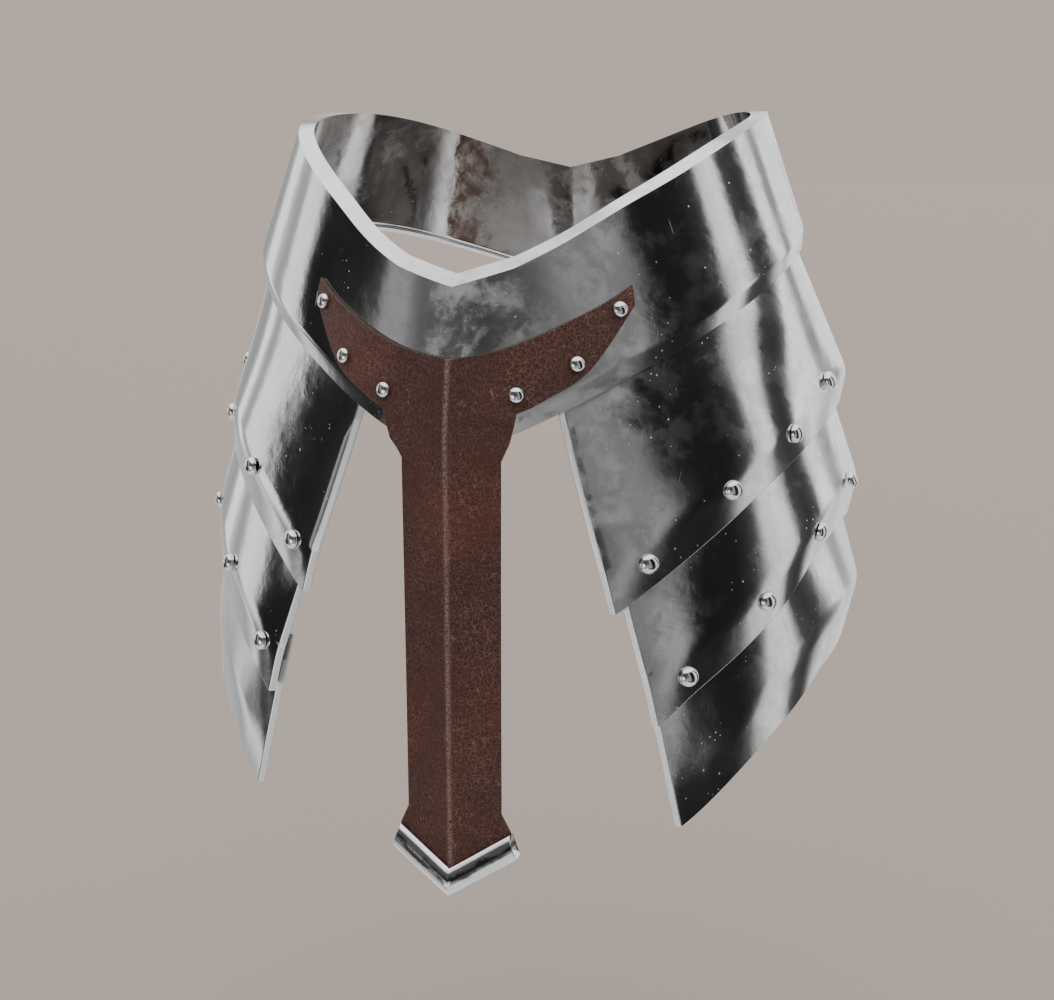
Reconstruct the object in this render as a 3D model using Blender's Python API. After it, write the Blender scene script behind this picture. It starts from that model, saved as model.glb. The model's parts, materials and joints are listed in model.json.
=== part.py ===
"""Waist armour: a steel waist band with a leather strap in front and three steel lames on each hip.

Frame: +Z up, the wearer faces -Y, +X is the wearer's left. The origin lies on the waist's axis,
level with the bottom of the notch in the band's front. Plan angles run from the front (0) round
the wearer's left side (90) to the back (180); the other half is the mirror image.
Tables are in millimetres and degrees, and everything built from them is in metres.
"""

import math
from collections import namedtuple
from functools import lru_cache

import bmesh
import bpy
from mathutils import Vector

MM = 0.001

# ---------------------------------------------------------------- driving dimensions

GAP = 0.6                      # clearance between pieces that touch

RIM_WALL = 12.5                # band's wall at its thick upper rim
CREASE_WALL = 5.0              # band's wall where the lower bevel starts
LOW_WALL = 3.0                 # band's wall at its lower edge
INNER_BEVEL = 7.0              # height of the bevel inside the lower edge
BAND_STEP = 5                  # degrees between the band's sections

LAME_WALL = 3.5                # lame's wall
EDGE_FACE = 5.5                # width of a lame's front edge, which is cut to face straight forward
EDGE_COLUMN = 8.0              # distance from the front edge to the next column of mesh
LAME_COLUMNS = 22              # columns of a lame's mesh, front to back
LAME_ROWS = 4                  # rows above the knee of a lame's mesh
UPPER_OVERLAP = 18.0           # how far the upper lame runs up behind the band
MIDDLE_OVERLAP = 32.0          # how far the middle lame runs up behind the upper one
LOWER_OVERLAP = 41.0           # how far the lower lame runs up behind the middle one

LEATHER = 3.0                  # leather's thickness
HORN_COLUMNS = 8               # columns of mesh along each horn of the yoke
STRAP_COLUMNS = 4              # columns of mesh across each half of the strap
YOKE_ROWS = 4                  # rows of mesh down the yoke

CHAPE_WALL = 1.6               # chape's walls in front of and behind the leather
CHAPE_DEPTH = 8.0              # how far the leather goes into the chape

RIVET_RIM = 0.16               # height of a rivet head's upright rim, of its radius
RIVET_DOME = 0.62              # height of a rivet head's dome, of its radius
RIVET_SIDES = 12
RIVET_RINGS = 3
LAME_RIVET = 7.0               # radius of the rivet heads on the lames
YOKE_RIVET = 5.5               # radius of the rivet heads on the leather

SETTLING_ROUNDS = 40           # rounds in which a smooth curve's slopes settle
SEARCH_STEPS = 40              # steps taken towards a rivet's seat on a lame
SEARCH_ANGLE = 125.0           # degrees off the seat that move the search one lame's length
SEARCH_HEIGHT = 80.0           # millimetres off the seat that move it one stretch down the lame

# ---------------------------------------------------------------- tables of sections

# The band: radius and height of its upper rim, how far the rim's inner edge stands above the
# outer one, and radius and height of the crease and of the lower edge.
BandRow = namedtuple("BandRow", "angle rim_r rim_z lip crease_r crease_z low_r low_z")
BAND = [
    BandRow(0, 162.1, 0.0, 8.0, 176.1, -97.0, 172.9, -111.0),
    BandRow(15, 158.0, 12.5, 7.0, 173.5, -85.5, 170.4, -98.5),
    BandRow(30, 150.0, 31.5, 5.0, 168.9, -65.5, 166.1, -79.5),
    BandRow(45, 146.1, 51.0, 3.5, 168.9, -45.5, 166.1, -60.5),
    BandRow(60, 150.1, 68.5, 3.0, 177.0, -27.5, 174.3, -41.0),
    BandRow(75, 161.6, 88.0, 2.0, 192.0, -3.0, 189.9, -17.5),
    BandRow(90, 175.9, 106.0, 0.0, 207.3, 20.0, 206.1, 7.0),
    BandRow(105, 186.3, 116.0, -1.5, 215.5, 33.0, 214.9, 20.0),
    BandRow(120, 189.3, 116.5, 0.5, 214.4, 35.5, 213.5, 22.5),
    BandRow(135, 185.7, 108.0, 3.0, 207.2, 29.0, 205.9, 16.5),
    BandRow(150, 179.7, 94.5, 3.5, 199.2, 16.0, 197.7, 3.0),
    BandRow(165, 175.4, 79.0, 4.0, 194.2, 1.0, 192.6, -12.5),
    BandRow(180, 174.0, 69.5, 4.0, 192.8, -8.0, 191.3, -22.0),
]
NOTCH = 15                     # half width in degrees of the straight-sided notches, front and back

# A lame: a row for each line down the plate, from its front edge to its rear edge. low_r and low_z
# place the line's lower end. The knee is the bulge above it: knee_up is its height over the lower
# edge, and knee_out is how far it stands outside that edge. tuck is how far the line passes inside
# the plate above, apart from the usual gap.
LameRow = namedtuple("LameRow", "top_angle low_angle low_r low_z knee_up knee_out tuck")
UPPER = [
    LameRow(26.0, 35.7, 197.5, -221.0, 29, -4.5, 0),
    LameRow(36.5, 45.0, 198.0, -202.0, 29, -2.0, 0),
    LameRow(47.5, 54.0, 202.5, -182.0, 29, -1.0, 0),
    LameRow(57.5, 62.5, 209.5, -162.0, 29, 0.0, 0),
    LameRow(69.5, 73.0, 219.0, -139.0, 30, 0.0, 0),
    LameRow(82.0, 84.0, 227.5, -122.0, 31, -4.0, 1.0),
    LameRow(91.0, 91.5, 233.0, -113.0, 30, -3.0, 2.0),
    LameRow(99.0, 99.0, 240.5, -106.5, 27, 0.5, 1.5),
    LameRow(106.0, 106.0, 249.0, -102.0, 25, 5.0, 1.0),
]
MIDDLE = [
    LameRow(37.5, 42.8, 214.5, -299.5, 29, -5.0, 0),
    LameRow(46.5, 50.7, 217.5, -278.0, 29, -3.0, 0),
    LameRow(56.5, 59.8, 222.5, -257.5, 29, -1.0, 0),
    LameRow(68.5, 70.5, 231.0, -231.0, 29, -0.5, 0),
    LameRow(79.0, 80.0, 234.5, -210.0, 30, 3.0, 0),
    LameRow(88.0, 88.5, 239.0, -198.0, 31, 5.0, 0),
    LameRow(98.5, 98.5, 248.5, -191.5, 31, 6.0, 0),
    LameRow(106.0, 106.0, 258.5, -190.5, 30, 7.0, 0),
]
LOWER = [
    LameRow(42.8, 47.4, 219.0, -375.0, 30, -5.0, 6.0),
    LameRow(49.5, 52.5, 220.0, -364.5, 32, -3.0, 4.0),
    LameRow(57.5, 59.5, 225.0, -345.0, 33, -1.0, 2.5),
    LameRow(66.5, 68.0, 232.5, -321.5, 35, -1.0, 1.0),
    LameRow(76.0, 77.0, 237.5, -304.0, 37, 1.5, 0),
    LameRow(86.0, 86.5, 241.5, -292.0, 40, 5.5, 0),
    LameRow(98.5, 98.5, 251.0, -286.0, 43, 10.0, 0),
    LameRow(106.0, 106.0, 258.5, -285.5, 45, 10.5, 0),
]

# A lame's rows, the rows of the plate above it (None is the band), and how far it runs up behind it.
Lame = namedtuple("Lame", "name rows above overlap")
LAMES = [
    Lame("tasset_upper", UPPER, None, UPPER_OVERLAP),
    Lame("tasset_middle", MIDDLE, UPPER, MIDDLE_OVERLAP),
    Lame("tasset_lower", LOWER, MIDDLE, LOWER_OVERLAP),
]

# The yoke's outline on the band: height of its upper and lower edge.
YokeRow = namedtuple("YokeRow", "angle upper_z lower_z")
YOKE = [
    YokeRow(0.0, -48.0, -84.0),
    YokeRow(10.5, -42.0, -84.0),
    YokeRow(15.5, -37.5, -83.5),
    YokeRow(23.5, -28.5, -72.5),
    YokeRow(31.5, -19.0, -59.0),
    YokeRow(39.0, -9.5, -35.5),
    YokeRow(45.2, 0.0, -14.0),
]

# The strap below the yoke: half width, and how far its middle and its edges stand in front of
# the waist's axis.
StrapRow = namedtuple("StrapRow", "z half_width ridge_y edge_y")
STRAP = [
    StrapRow(-103.0, 42.3, 181.0, 170.5),
    StrapRow(-110.0, 38.3, 180.8, 167.8),
    StrapRow(-117.0, 35.0, 180.5, 167.3),
    StrapRow(-200.0, 34.6, 179.7, 167.0),
    StrapRow(-290.0, 34.3, 178.9, 166.5),
    StrapRow(-372.5, 34.2, 178.0, 166.0),
]

# The strap's pointed end and the chape over it: half width and height of the corners, and height
# of the point.
EndRow = namedtuple("EndRow", "half_width corner_z point_z")
CHAPE_TOP = EndRow(41.0, -387.0, -411.5)
CHAPE_BOTTOM = EndRow(46.8, -404.5, -431.5)
END_RIDGE_Y = 177.6
END_SLOPE = 0.33               # how fast the strap's halves fall back from its ridge

# A rivet: its plan angle and height on the left side and on the right, where the smith set them a
# little apart.
RivetRow = namedtuple("RivetRow", "name angle_l z_l angle_r z_r radius")
YOKE_RIVETS = [
    RivetRow("yoke_rivet", 41.0, -16.5, 41.0, -16.5, YOKE_RIVET),
    RivetRow("yoke_rivet", 29.5, -51.5, 29.5, -51.5, YOKE_RIVET),
    RivetRow("yoke_rivet", 15.5, -71.0, 15.5, -71.0, YOKE_RIVET),
]
UPPER_RIVETS = [
    RivetRow("upper_rivet", 43.0, -187.0, 40.5, -185.5, LAME_RIVET),
    RivetRow("upper_rivet", 61.5, -141.5, 58.0, -141.5, LAME_RIVET),
    RivetRow("upper_rivet", 79.0, -109.5, 76.5, -111.0, LAME_RIVET),
    RivetRow("upper_rivet", 95.5, -80.0, 94.5, -79.5, LAME_RIVET),
]
MIDDLE_RIVETS = [
    RivetRow("middle_rivet", 49.0, -266.0, 46.5, -264.0, LAME_RIVET),
    RivetRow("middle_rivet", 66.5, -222.0, 62.5, -218.5, LAME_RIVET),
    RivetRow("middle_rivet", 83.5, -184.0, 80.5, -184.5, LAME_RIVET),
    RivetRow("middle_rivet", 99.5, -158.5, 97.5, -159.5, LAME_RIVET),
]

# ---------------------------------------------------------------- curves through the tables


def hermite(y0, y1, slope0, slope1, width, t):
    """Cubic from y0 to y1 across a span of the given width, at the fraction t."""
    bend0 = t * (1 - t) ** 2 * width * slope0
    bend1 = t * t * (1 - t) * width * slope1
    ease = t * t * (3 - 2 * t)
    return y0 + (y1 - y0) * ease + bend0 - bend1


@lru_cache(maxsize=None)
def slopes(xs, ys, flat_ends):
    """Slopes at the points (xs, ys) with which the cubics between them bend alike where they meet."""
    last = len(xs) - 1
    widths = [xs[k + 1] - xs[k] for k in range(last)]
    chords = [(ys[k + 1] - ys[k]) / widths[k] for k in range(last)]
    found = [0.0] * (last + 1)
    for _ in range(SETTLING_ROUNDS):
        if not flat_ends:
            found[0] = (3 * chords[0] - found[1]) / 2
            found[last] = (3 * chords[-1] - found[last - 1]) / 2
        for k in range(1, last):
            before, after = 1 / widths[k - 1], 1 / widths[k]
            pull = 3 * (chords[k - 1] * before + chords[k] * after)
            pull -= found[k - 1] * before + found[k + 1] * after
            found[k] = pull / (2 * (before + after))
    return found


def smooth(xs, ys, x, flat_ends=False):
    """Value at x of the smooth curve through the points (xs, ys)."""
    last = len(xs) - 1
    i = 0
    while i < last - 1 and x > xs[i + 1]:
        i += 1
    found = slopes(tuple(xs), tuple(ys), flat_ends)
    width = xs[i + 1] - xs[i]
    return hermite(ys[i], ys[i + 1], found[i], found[i + 1], width, (x - xs[i]) / width)


def band_value(column, angle):
    """A column of the band's table at any plan angle; heights keep the notches' straight sides."""
    angle = abs(angle)
    rows = BAND
    flat = True
    if column.endswith("_z"):
        flat = False
        if angle <= NOTCH:
            rows = [row for row in BAND if row.angle <= NOTCH]
        elif angle >= 180 - NOTCH:
            rows = [row for row in BAND if row.angle >= 180 - NOTCH]
        else:
            rows = [row for row in BAND if NOTCH <= row.angle <= 180 - NOTCH]
    return smooth([row.angle for row in rows], [getattr(row, column) for row in rows], angle, flat)


def polar(angle, radius, z):
    """Point in metres from a plan angle in degrees and a radius and height in millimetres."""
    a = math.radians(angle)
    return Vector((radius * math.sin(a), -radius * math.cos(a), z)) * MM


def band_outer_r(angle, z):
    """Radius of the band's outer face at a plan angle and height."""
    rim_r, rim_z = band_value("rim_r", angle), band_value("rim_z", angle)
    crease_r, crease_z = band_value("crease_r", angle), band_value("crease_z", angle)
    low_r, low_z = band_value("low_r", angle), band_value("low_z", angle)
    if z >= crease_z:
        return rim_r + (crease_r - rim_r) * (rim_z - z) / (rim_z - crease_z)
    return crease_r + (low_r - crease_r) * (crease_z - z) / (crease_z - low_z)


def lame_value(rows, column, u):
    """A column of a lame's table at u, which runs from 0 at its front edge to 1 at its rear edge."""
    places = [i / (len(rows) - 1) for i in range(len(rows))]
    return smooth(places, [getattr(row, column) for row in rows], u)


def low_edge(rows, angle):
    """Radius and height of a plate's lower edge at a plan angle; no rows means the band."""
    if rows is None:
        return band_value("low_r", angle), band_value("low_z", angle)
    angles = [row.low_angle for row in rows]
    radius = smooth(angles, [row.low_r for row in rows], angle)
    return radius, smooth(angles, [row.low_z for row in rows], angle)


def lame_line(lame, u):
    """Three points (plan angle, radius, height) down a lame's outer face: top, knee, lower edge.
    The straight stretch from top to knee passes just inside the lower edge of the plate above."""
    top_angle, low_angle = lame_value(lame.rows, "top_angle", u), lame_value(lame.rows, "low_angle", u)
    low_r, low_z = lame_value(lame.rows, "low_r", u), lame_value(lame.rows, "low_z", u)
    knee_r = low_r + lame_value(lame.rows, "knee_out", u)
    knee_z = low_z + lame_value(lame.rows, "knee_up", u)
    top_z = low_edge(lame.above, top_angle)[1] + lame.overlap
    lean = (low_angle - top_angle) / (top_z - low_z)
    throat_angle = top_angle + lean * lame.overlap
    throat_r, throat_z = low_edge(lame.above, throat_angle)
    throat_r -= LAME_WALL + GAP + lame_value(lame.rows, "tuck", u)
    slope = (knee_r - throat_r) / (throat_z - knee_z)
    top_r = throat_r - slope * (top_z - throat_z)
    knee_angle = top_angle + lean * (top_z - knee_z)
    return (top_angle, top_r, top_z), (knee_angle, knee_r, knee_z), (low_angle, low_r, low_z)


def lame_point(lame, u, v):
    """Plan angle, radius and height on a lame's outer face; v is 0 at its top, 1 at its knee
    and 2 at its lower edge."""
    top, knee, low = lame_line(lame, u)
    start, end, t = (top, knee, v) if v <= 1 else (knee, low, v - 1)
    return tuple(a + (b - a) * t for a, b in zip(start, end))


# ---------------------------------------------------------------- making objects


def steel(name, shade=0.62, roughness=0.28):
    return make_material(name, (shade, shade, shade), roughness, 1.0)


def make_material(name, colour, roughness, metallic):
    material = bpy.data.materials.new(name)
    material.use_nodes = True
    shader = material.node_tree.nodes["Principled BSDF"]
    shader.inputs["Base Color"].default_value = (*colour, 1.0)
    shader.inputs["Roughness"].default_value = roughness
    shader.inputs["Metallic"].default_value = metallic
    return material


def add_object(name, points, faces, material):
    """Object from points and faces, with its faces turned outwards."""
    mesh = bpy.data.meshes.new(name)
    shape = bmesh.new()
    corners = [shape.verts.new(p) for p in points]
    for face in faces:
        shape.faces.new([corners[i] for i in face])
    bmesh.ops.recalc_face_normals(shape, faces=shape.faces)
    shape.to_mesh(mesh)
    shape.free()
    mesh.materials.append(material)
    mesh.shade_smooth()
    mesh.set_sharp_from_angle(angle=math.radians(30))
    item = bpy.data.objects.new(name, mesh)
    bpy.context.scene.collection.objects.link(item)
    return item


def loop_faces(loops, sides, closed):
    """Quads between rings of points; closed joins the last ring to the first, else both are capped."""
    faces = []
    for i in range(loops if closed else loops - 1):
        here, there = i * sides, (i + 1) % loops * sides
        for j in range(sides):
            k = (j + 1) % sides
            faces.append((here + j, here + k, there + k, there + j))
    return faces


# ---------------------------------------------------------------- the band


def make_waist_band():
    """One closed ring: thick rim, flared wall, crease, and a bevel down to the lower edge."""
    points = []
    angles = range(-180, 180, BAND_STEP)
    for angle in angles:
        rim_r, rim_z = band_value("rim_r", angle), band_value("rim_z", angle)
        crease_r, crease_z = band_value("crease_r", angle), band_value("crease_z", angle)
        low_r, low_z = band_value("low_r", angle), band_value("low_z", angle)
        lip = band_value("lip", angle)
        points += [
            polar(angle, rim_r, rim_z),
            polar(angle, crease_r, crease_z),
            polar(angle, low_r, low_z),
            polar(angle, low_r - LOW_WALL, low_z),
            polar(angle, band_outer_r(angle, low_z + INNER_BEVEL) - CREASE_WALL, low_z + INNER_BEVEL),
            polar(angle, rim_r - RIM_WALL, rim_z + lip),
        ]
    sides = 6
    faces = loop_faces(len(angles), sides, closed=True)
    return add_object("waist_band", points, faces, steel("band_steel"))


# ---------------------------------------------------------------- the lames


def make_lame(lame, letter, side):
    """Curved plate between its outer face and the same face one wall further in; its front edge
    is cut to face straight forward."""
    length = (polar(*lame_point(lame, 1, 1)) - polar(*lame_point(lame, 0, 1))).length / MM
    first = EDGE_COLUMN / length
    us = [0] + [first + (1 - first) * i / LAME_COLUMNS for i in range(LAME_COLUMNS + 1)]
    vs = [i / LAME_ROWS for i in range(LAME_ROWS + 1)] + [1.5, 2.0]
    outer, inner = [], []
    for u in us:
        for v in vs:
            angle, r, z = lame_point(lame, u, v)
            outer.append(polar(side * angle, r, z))
            if u == 0:
                inner.append(outer[-1] - Vector((side * EDGE_FACE * MM, 0, 0)))
            else:
                inner.append(polar(side * angle, r - LAME_WALL, z))
    name = lame.name + "_" + letter
    return add_object(name, outer + inner, slab_faces(len(us), len(vs)), steel(name))


def slab_faces(columns, lines):
    """Faces of a slab between two grids of points, listed one after the other."""
    shift = columns * lines
    faces = []
    for i in range(columns - 1):
        for j in range(lines - 1):
            a, b = i * lines + j, (i + 1) * lines + j
            faces.append((a, b, b + 1, a + 1))
            faces.append((shift + a, shift + a + 1, shift + b + 1, shift + b))
        for j in (0, lines - 1):
            a, b = i * lines + j, (i + 1) * lines + j
            faces.append((a, shift + a, shift + b, b))
    for j in range(lines - 1):
        for i in (0, columns - 1):
            a = i * lines + j
            faces.append((a, a + 1, shift + a + 1, shift + a))
    return faces


# ---------------------------------------------------------------- the leather


def yoke_value(column, angle):
    return smooth([row.angle for row in YOKE], [getattr(row, column) for row in YOKE], angle)


def yoke_point(angle, z):
    """Point on the leather's inner face where it lies on the band."""
    return polar(angle, band_outer_r(angle, z) + GAP, z)


def crease_point(angle):
    """Point on the leather's inner face just below the band's crease."""
    return polar(angle, band_value("crease_r", angle) + 2 * GAP, band_value("crease_z", angle) - 2 * GAP)


def strap_point(row, across):
    """Point on the strap's inner face; across runs from -1 to 1 over its width."""
    y = row.ridge_y - (row.ridge_y - row.edge_y) * abs(across) - LEATHER
    return Vector((across * row.half_width, -y, row.z)) * MM


def end_point(end, across, in_front):
    """Point on the strap's pointed end, in_front millimetres before the leather's inner face."""
    x = across * end.half_width
    y = END_RIDGE_Y - LEATHER - END_SLOPE * abs(x) + in_front
    z = end.point_z + (end.corner_z - end.point_z) * abs(across)
    return Vector((x, -y, z)) * MM


def make_leather_tab():
    """One sheet of leather: the yoke's horns on the band, the strap, and its pointed end."""
    neck = YOKE[2].angle
    tip = YOKE[-1].angle
    horn = [neck + (tip - neck) * (i + 1) / HORN_COLUMNS for i in range(HORN_COLUMNS)]
    strap = [i / STRAP_COLUMNS for i in range(-STRAP_COLUMNS, STRAP_COLUMNS + 1)]
    angles = [-a for a in reversed(horn)] + [s * neck for s in strap] + horn
    points, faces = [], []
    for angle in angles:
        upper, lower = yoke_value("upper_z", abs(angle)), yoke_value("lower_z", abs(angle))
        for i in range(YOKE_ROWS + 1):
            points.append(yoke_point(angle, upper + (lower - upper) * i / YOKE_ROWS))
    lines = YOKE_ROWS + 1
    for i in range(len(angles) - 1):
        for j in range(YOKE_ROWS):
            a, b = i * lines + j, (i + 1) * lines + j
            faces.append((a, b, b + 1, a + 1))
    last_row = [(HORN_COLUMNS + i) * lines + YOKE_ROWS for i in range(len(strap))]
    tucked = EndRow(CHAPE_TOP.half_width - 2 * GAP,
                    CHAPE_TOP.corner_z - CHAPE_DEPTH,
                    CHAPE_TOP.point_z - CHAPE_DEPTH)
    rows = [[crease_point(s * neck) for s in strap]]
    rows += [[strap_point(row, s) for s in strap] for row in STRAP]
    rows += [[end_point(end, s, 0) for s in strap] for end in (CHAPE_TOP, tucked)]
    for row in rows:
        this_row = list(range(len(points), len(points) + len(strap)))
        points += row
        for i in range(len(strap) - 1):
            faces.append((last_row[i], last_row[i + 1], this_row[i + 1], this_row[i]))
        last_row = this_row
    leather = make_material("leather", (0.075, 0.028, 0.022), 0.6, 0.0)
    item = add_object("leather_tab", points, faces, leather)
    thickness = item.modifiers.new("thickness", "SOLIDIFY")
    thickness.thickness = LEATHER * MM
    thickness.offset = 1
    return item


# ---------------------------------------------------------------- the chape


def chape_section(across):
    """Section of the cap: a U open at the top, whose slot takes the leather."""
    back, front = -GAP, LEATHER + GAP
    floor = Vector((0, 0, -(CHAPE_DEPTH + 3 * GAP) * MM))
    return [
        end_point(CHAPE_TOP, across, front + CHAPE_WALL),
        end_point(CHAPE_BOTTOM, across, front + CHAPE_WALL),
        end_point(CHAPE_BOTTOM, across, back - CHAPE_WALL),
        end_point(CHAPE_TOP, across, back - CHAPE_WALL),
        end_point(CHAPE_TOP, across, back),
        end_point(CHAPE_TOP, across, back) + floor,
        end_point(CHAPE_TOP, across, front) + floor,
        end_point(CHAPE_TOP, across, front),
    ]


def make_chape():
    """Steel cap folded over the strap's pointed end, from one side to the other past its ridge."""
    sections = [chape_section(across) for across in (-1.0, 0.0, 1.0)]
    points = [point for section in sections for point in section]
    sides = len(sections[0])
    faces = loop_faces(len(sections), sides, closed=False)
    for first in (0, len(points) - sides):
        front_wall, floor, back_wall = (0, 7, 6, 1), (6, 5, 2, 1), (5, 4, 3, 2)
        faces += [[first + i for i in wall] for wall in (front_wall, floor, back_wall)]
    return add_object("chape", points, faces, steel("chape"))


# ---------------------------------------------------------------- the rivets


def make_rivet(name, base, normal, radius):
    """Domed rivet head standing on base along normal."""
    across = normal.orthogonal().normalized()
    along = normal.cross(across)
    points = []
    profile = [(radius, 0.0), (radius, radius * RIVET_RIM)]
    for i in range(1, RIVET_RINGS):
        a = math.pi / 2 * i / RIVET_RINGS
        profile.append((radius * math.cos(a), radius * (RIVET_RIM + RIVET_DOME * math.sin(a))))
    for r, height in profile:
        for i in range(RIVET_SIDES):
            a = 2 * math.pi * i / RIVET_SIDES
            outwards = across * math.cos(a) + along * math.sin(a)
            points.append(base + (outwards * r + normal * height) * MM)
    top = len(points)
    points.append(base + normal * (radius * (RIVET_RIM + RIVET_DOME) * MM))
    faces = loop_faces(len(profile), RIVET_SIDES, closed=False)
    faces.append(range(RIVET_SIDES))
    last = top - RIVET_SIDES
    faces += [(last + i, last + (i + 1) % RIVET_SIDES, top) for i in range(RIVET_SIDES)]
    return add_object(name, points, faces, steel(name))


def surface_frame(point_at, angle, z):
    """Point and outward normal of a surface given as a function of plan angle and height."""
    step = 1.0
    here = point_at(angle, z)
    round_the_waist = point_at(angle + step, z) - point_at(angle - step, z)
    upwards = point_at(angle, z + step) - point_at(angle, z - step)
    return here, round_the_waist.cross(upwards).normalized()


def lame_at(lame, angle, z):
    """Point on a lame's outer face at a plan angle and height, found by steps from its knee."""
    u, v = 0.5, 1.0
    for _ in range(SEARCH_STEPS):
        here_angle, _, here_z = lame_point(lame, u, v)
        u += (angle - here_angle) / SEARCH_ANGLE
        v += (here_z - z) / SEARCH_HEIGHT
    return polar(*lame_point(lame, u, v))


def make_rivets(letter, side):
    """Heads along one half of the yoke and along the lower edges of two lames."""
    seats = [(YOKE_RIVETS, yoke_point, LEATHER + GAP)]
    seats.append((UPPER_RIVETS, lambda angle, z: lame_at(LAMES[0], angle, z), GAP))
    seats.append((MIDDLE_RIVETS, lambda angle, z: lame_at(LAMES[1], angle, z), GAP))
    for rivets, point_at, lift in seats:
        for number, rivet in enumerate(rivets, 1):
            angle, z = (rivet.angle_l, rivet.z_l) if side > 0 else (rivet.angle_r, rivet.z_r)
            base, normal = surface_frame(point_at, angle, z)
            base += normal * (lift * MM)
            mirrored = Vector((side, 1, 1))
            name = f"{rivet.name}_{letter}{number}"
            make_rivet(name, base * mirrored, normal * mirrored, rivet.radius)


# ---------------------------------------------------------------- build

for item in list(bpy.data.objects):
    bpy.data.objects.remove(item, do_unlink=True)

make_waist_band()
make_leather_tab()
make_chape()
for letter, side in (("l", 1), ("r", -1)):
    for lame in LAMES:
        make_lame(lame, letter, side)
    make_rivets(letter, side)
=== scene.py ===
# %% [markdown]
# # Waist armour
# This armour hangs on the wearer's hips. A flared steel band goes round the waist, three curved
# steel plates called lames overlap down each hip, and a leather strap with a steel end, the chape,
# hangs in front. Each cell below makes one of these pieces or one of their finishes.
#
# The solids that carry the armour's sizes are loaded first. Each of them is then replaced by a
# finer piece in the same place, because rounded edges and smooth curves are what polished steel
# shows best.

# %% Load the solids
import json
import math
from collections import namedtuple
from functools import lru_cache

import bmesh
import bpy
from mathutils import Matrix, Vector

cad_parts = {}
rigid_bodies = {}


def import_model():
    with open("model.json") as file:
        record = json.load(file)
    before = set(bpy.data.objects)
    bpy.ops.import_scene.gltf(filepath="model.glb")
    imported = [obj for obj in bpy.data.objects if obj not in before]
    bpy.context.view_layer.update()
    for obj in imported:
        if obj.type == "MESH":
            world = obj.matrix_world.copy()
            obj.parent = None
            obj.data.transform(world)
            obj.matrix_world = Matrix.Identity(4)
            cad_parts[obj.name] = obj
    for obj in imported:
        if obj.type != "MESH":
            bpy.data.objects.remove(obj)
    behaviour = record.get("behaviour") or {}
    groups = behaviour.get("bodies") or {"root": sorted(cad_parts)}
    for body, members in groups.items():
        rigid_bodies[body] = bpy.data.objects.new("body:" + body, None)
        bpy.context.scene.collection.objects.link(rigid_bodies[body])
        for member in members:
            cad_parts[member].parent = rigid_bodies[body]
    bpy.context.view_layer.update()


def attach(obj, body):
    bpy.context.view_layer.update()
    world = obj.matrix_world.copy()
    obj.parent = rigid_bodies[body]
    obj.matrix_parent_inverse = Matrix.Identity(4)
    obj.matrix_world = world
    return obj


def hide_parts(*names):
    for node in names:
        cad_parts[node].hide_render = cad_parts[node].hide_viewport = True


for item in list(bpy.data.objects):
    bpy.data.objects.remove(item, do_unlink=True)
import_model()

# %% [markdown]
# ## Sizes
# A smith works from a few measured sections, and so does this script. The tables are in
# millimetres and degrees. Plan angles run from the front (0) round the wearer's left side (90) to
# the back (180), and the other half is the mirror image. Everything between two rows is read from
# a smooth curve through the table.

# %% Sizes of the band
MM = 0.001
GAP = 0.6                      # clearance between pieces that touch
RIM_WALL = 12.5                # band's wall at its thick upper rim
CREASE_WALL = 5.0              # band's wall where the lower bevel starts
LOW_WALL = 3.0                 # band's wall at its lower edge
INNER_BEVEL = 7.0              # height of the bevel inside the lower edge
SETTLING_ROUNDS = 40           # rounds in which a smooth curve's slopes settle
NOTCH = 15                     # half width in degrees of the straight-sided notches

# Radius and height of the upper rim, how far the rim's inner edge stands above the outer one, and
# radius and height of the crease and of the lower edge.
BandRow = namedtuple("BandRow", "angle rim_r rim_z lip crease_r crease_z low_r low_z")
BAND = [
    BandRow(0, 162.1, 0.0, 8.0, 176.1, -97.0, 172.9, -111.0),
    BandRow(15, 158.0, 12.5, 7.0, 173.5, -85.5, 170.4, -98.5),
    BandRow(30, 150.0, 31.5, 5.0, 168.9, -65.5, 166.1, -79.5),
    BandRow(45, 146.1, 51.0, 3.5, 168.9, -45.5, 166.1, -60.5),
    BandRow(60, 150.1, 68.5, 3.0, 177.0, -27.5, 174.3, -41.0),
    BandRow(75, 161.6, 88.0, 2.0, 192.0, -3.0, 189.9, -17.5),
    BandRow(90, 175.9, 106.0, 0.0, 207.3, 20.0, 206.1, 7.0),
    BandRow(105, 186.3, 116.0, -1.5, 215.5, 33.0, 214.9, 20.0),
    BandRow(120, 189.3, 116.5, 0.5, 214.4, 35.5, 213.5, 22.5),
    BandRow(135, 185.7, 108.0, 3.0, 207.2, 29.0, 205.9, 16.5),
    BandRow(150, 179.7, 94.5, 3.5, 199.2, 16.0, 197.7, 3.0),
    BandRow(165, 175.4, 79.0, 4.0, 194.2, 1.0, 192.6, -12.5),
    BandRow(180, 174.0, 69.5, 4.0, 192.8, -8.0, 191.3, -22.0),
]

# %% Sizes of the lames
LAME_WALL = 3.5                # lame's wall
EDGE_FACE = 5.5                # width of a lame's front edge, which is cut to face forward
UPPER_OVERLAP = 18.0           # how far the upper lame runs up behind the band
MIDDLE_OVERLAP = 32.0          # how far the middle lame runs up behind the upper one
LOWER_OVERLAP = 41.0           # how far the lower lame runs up behind the middle one

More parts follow.
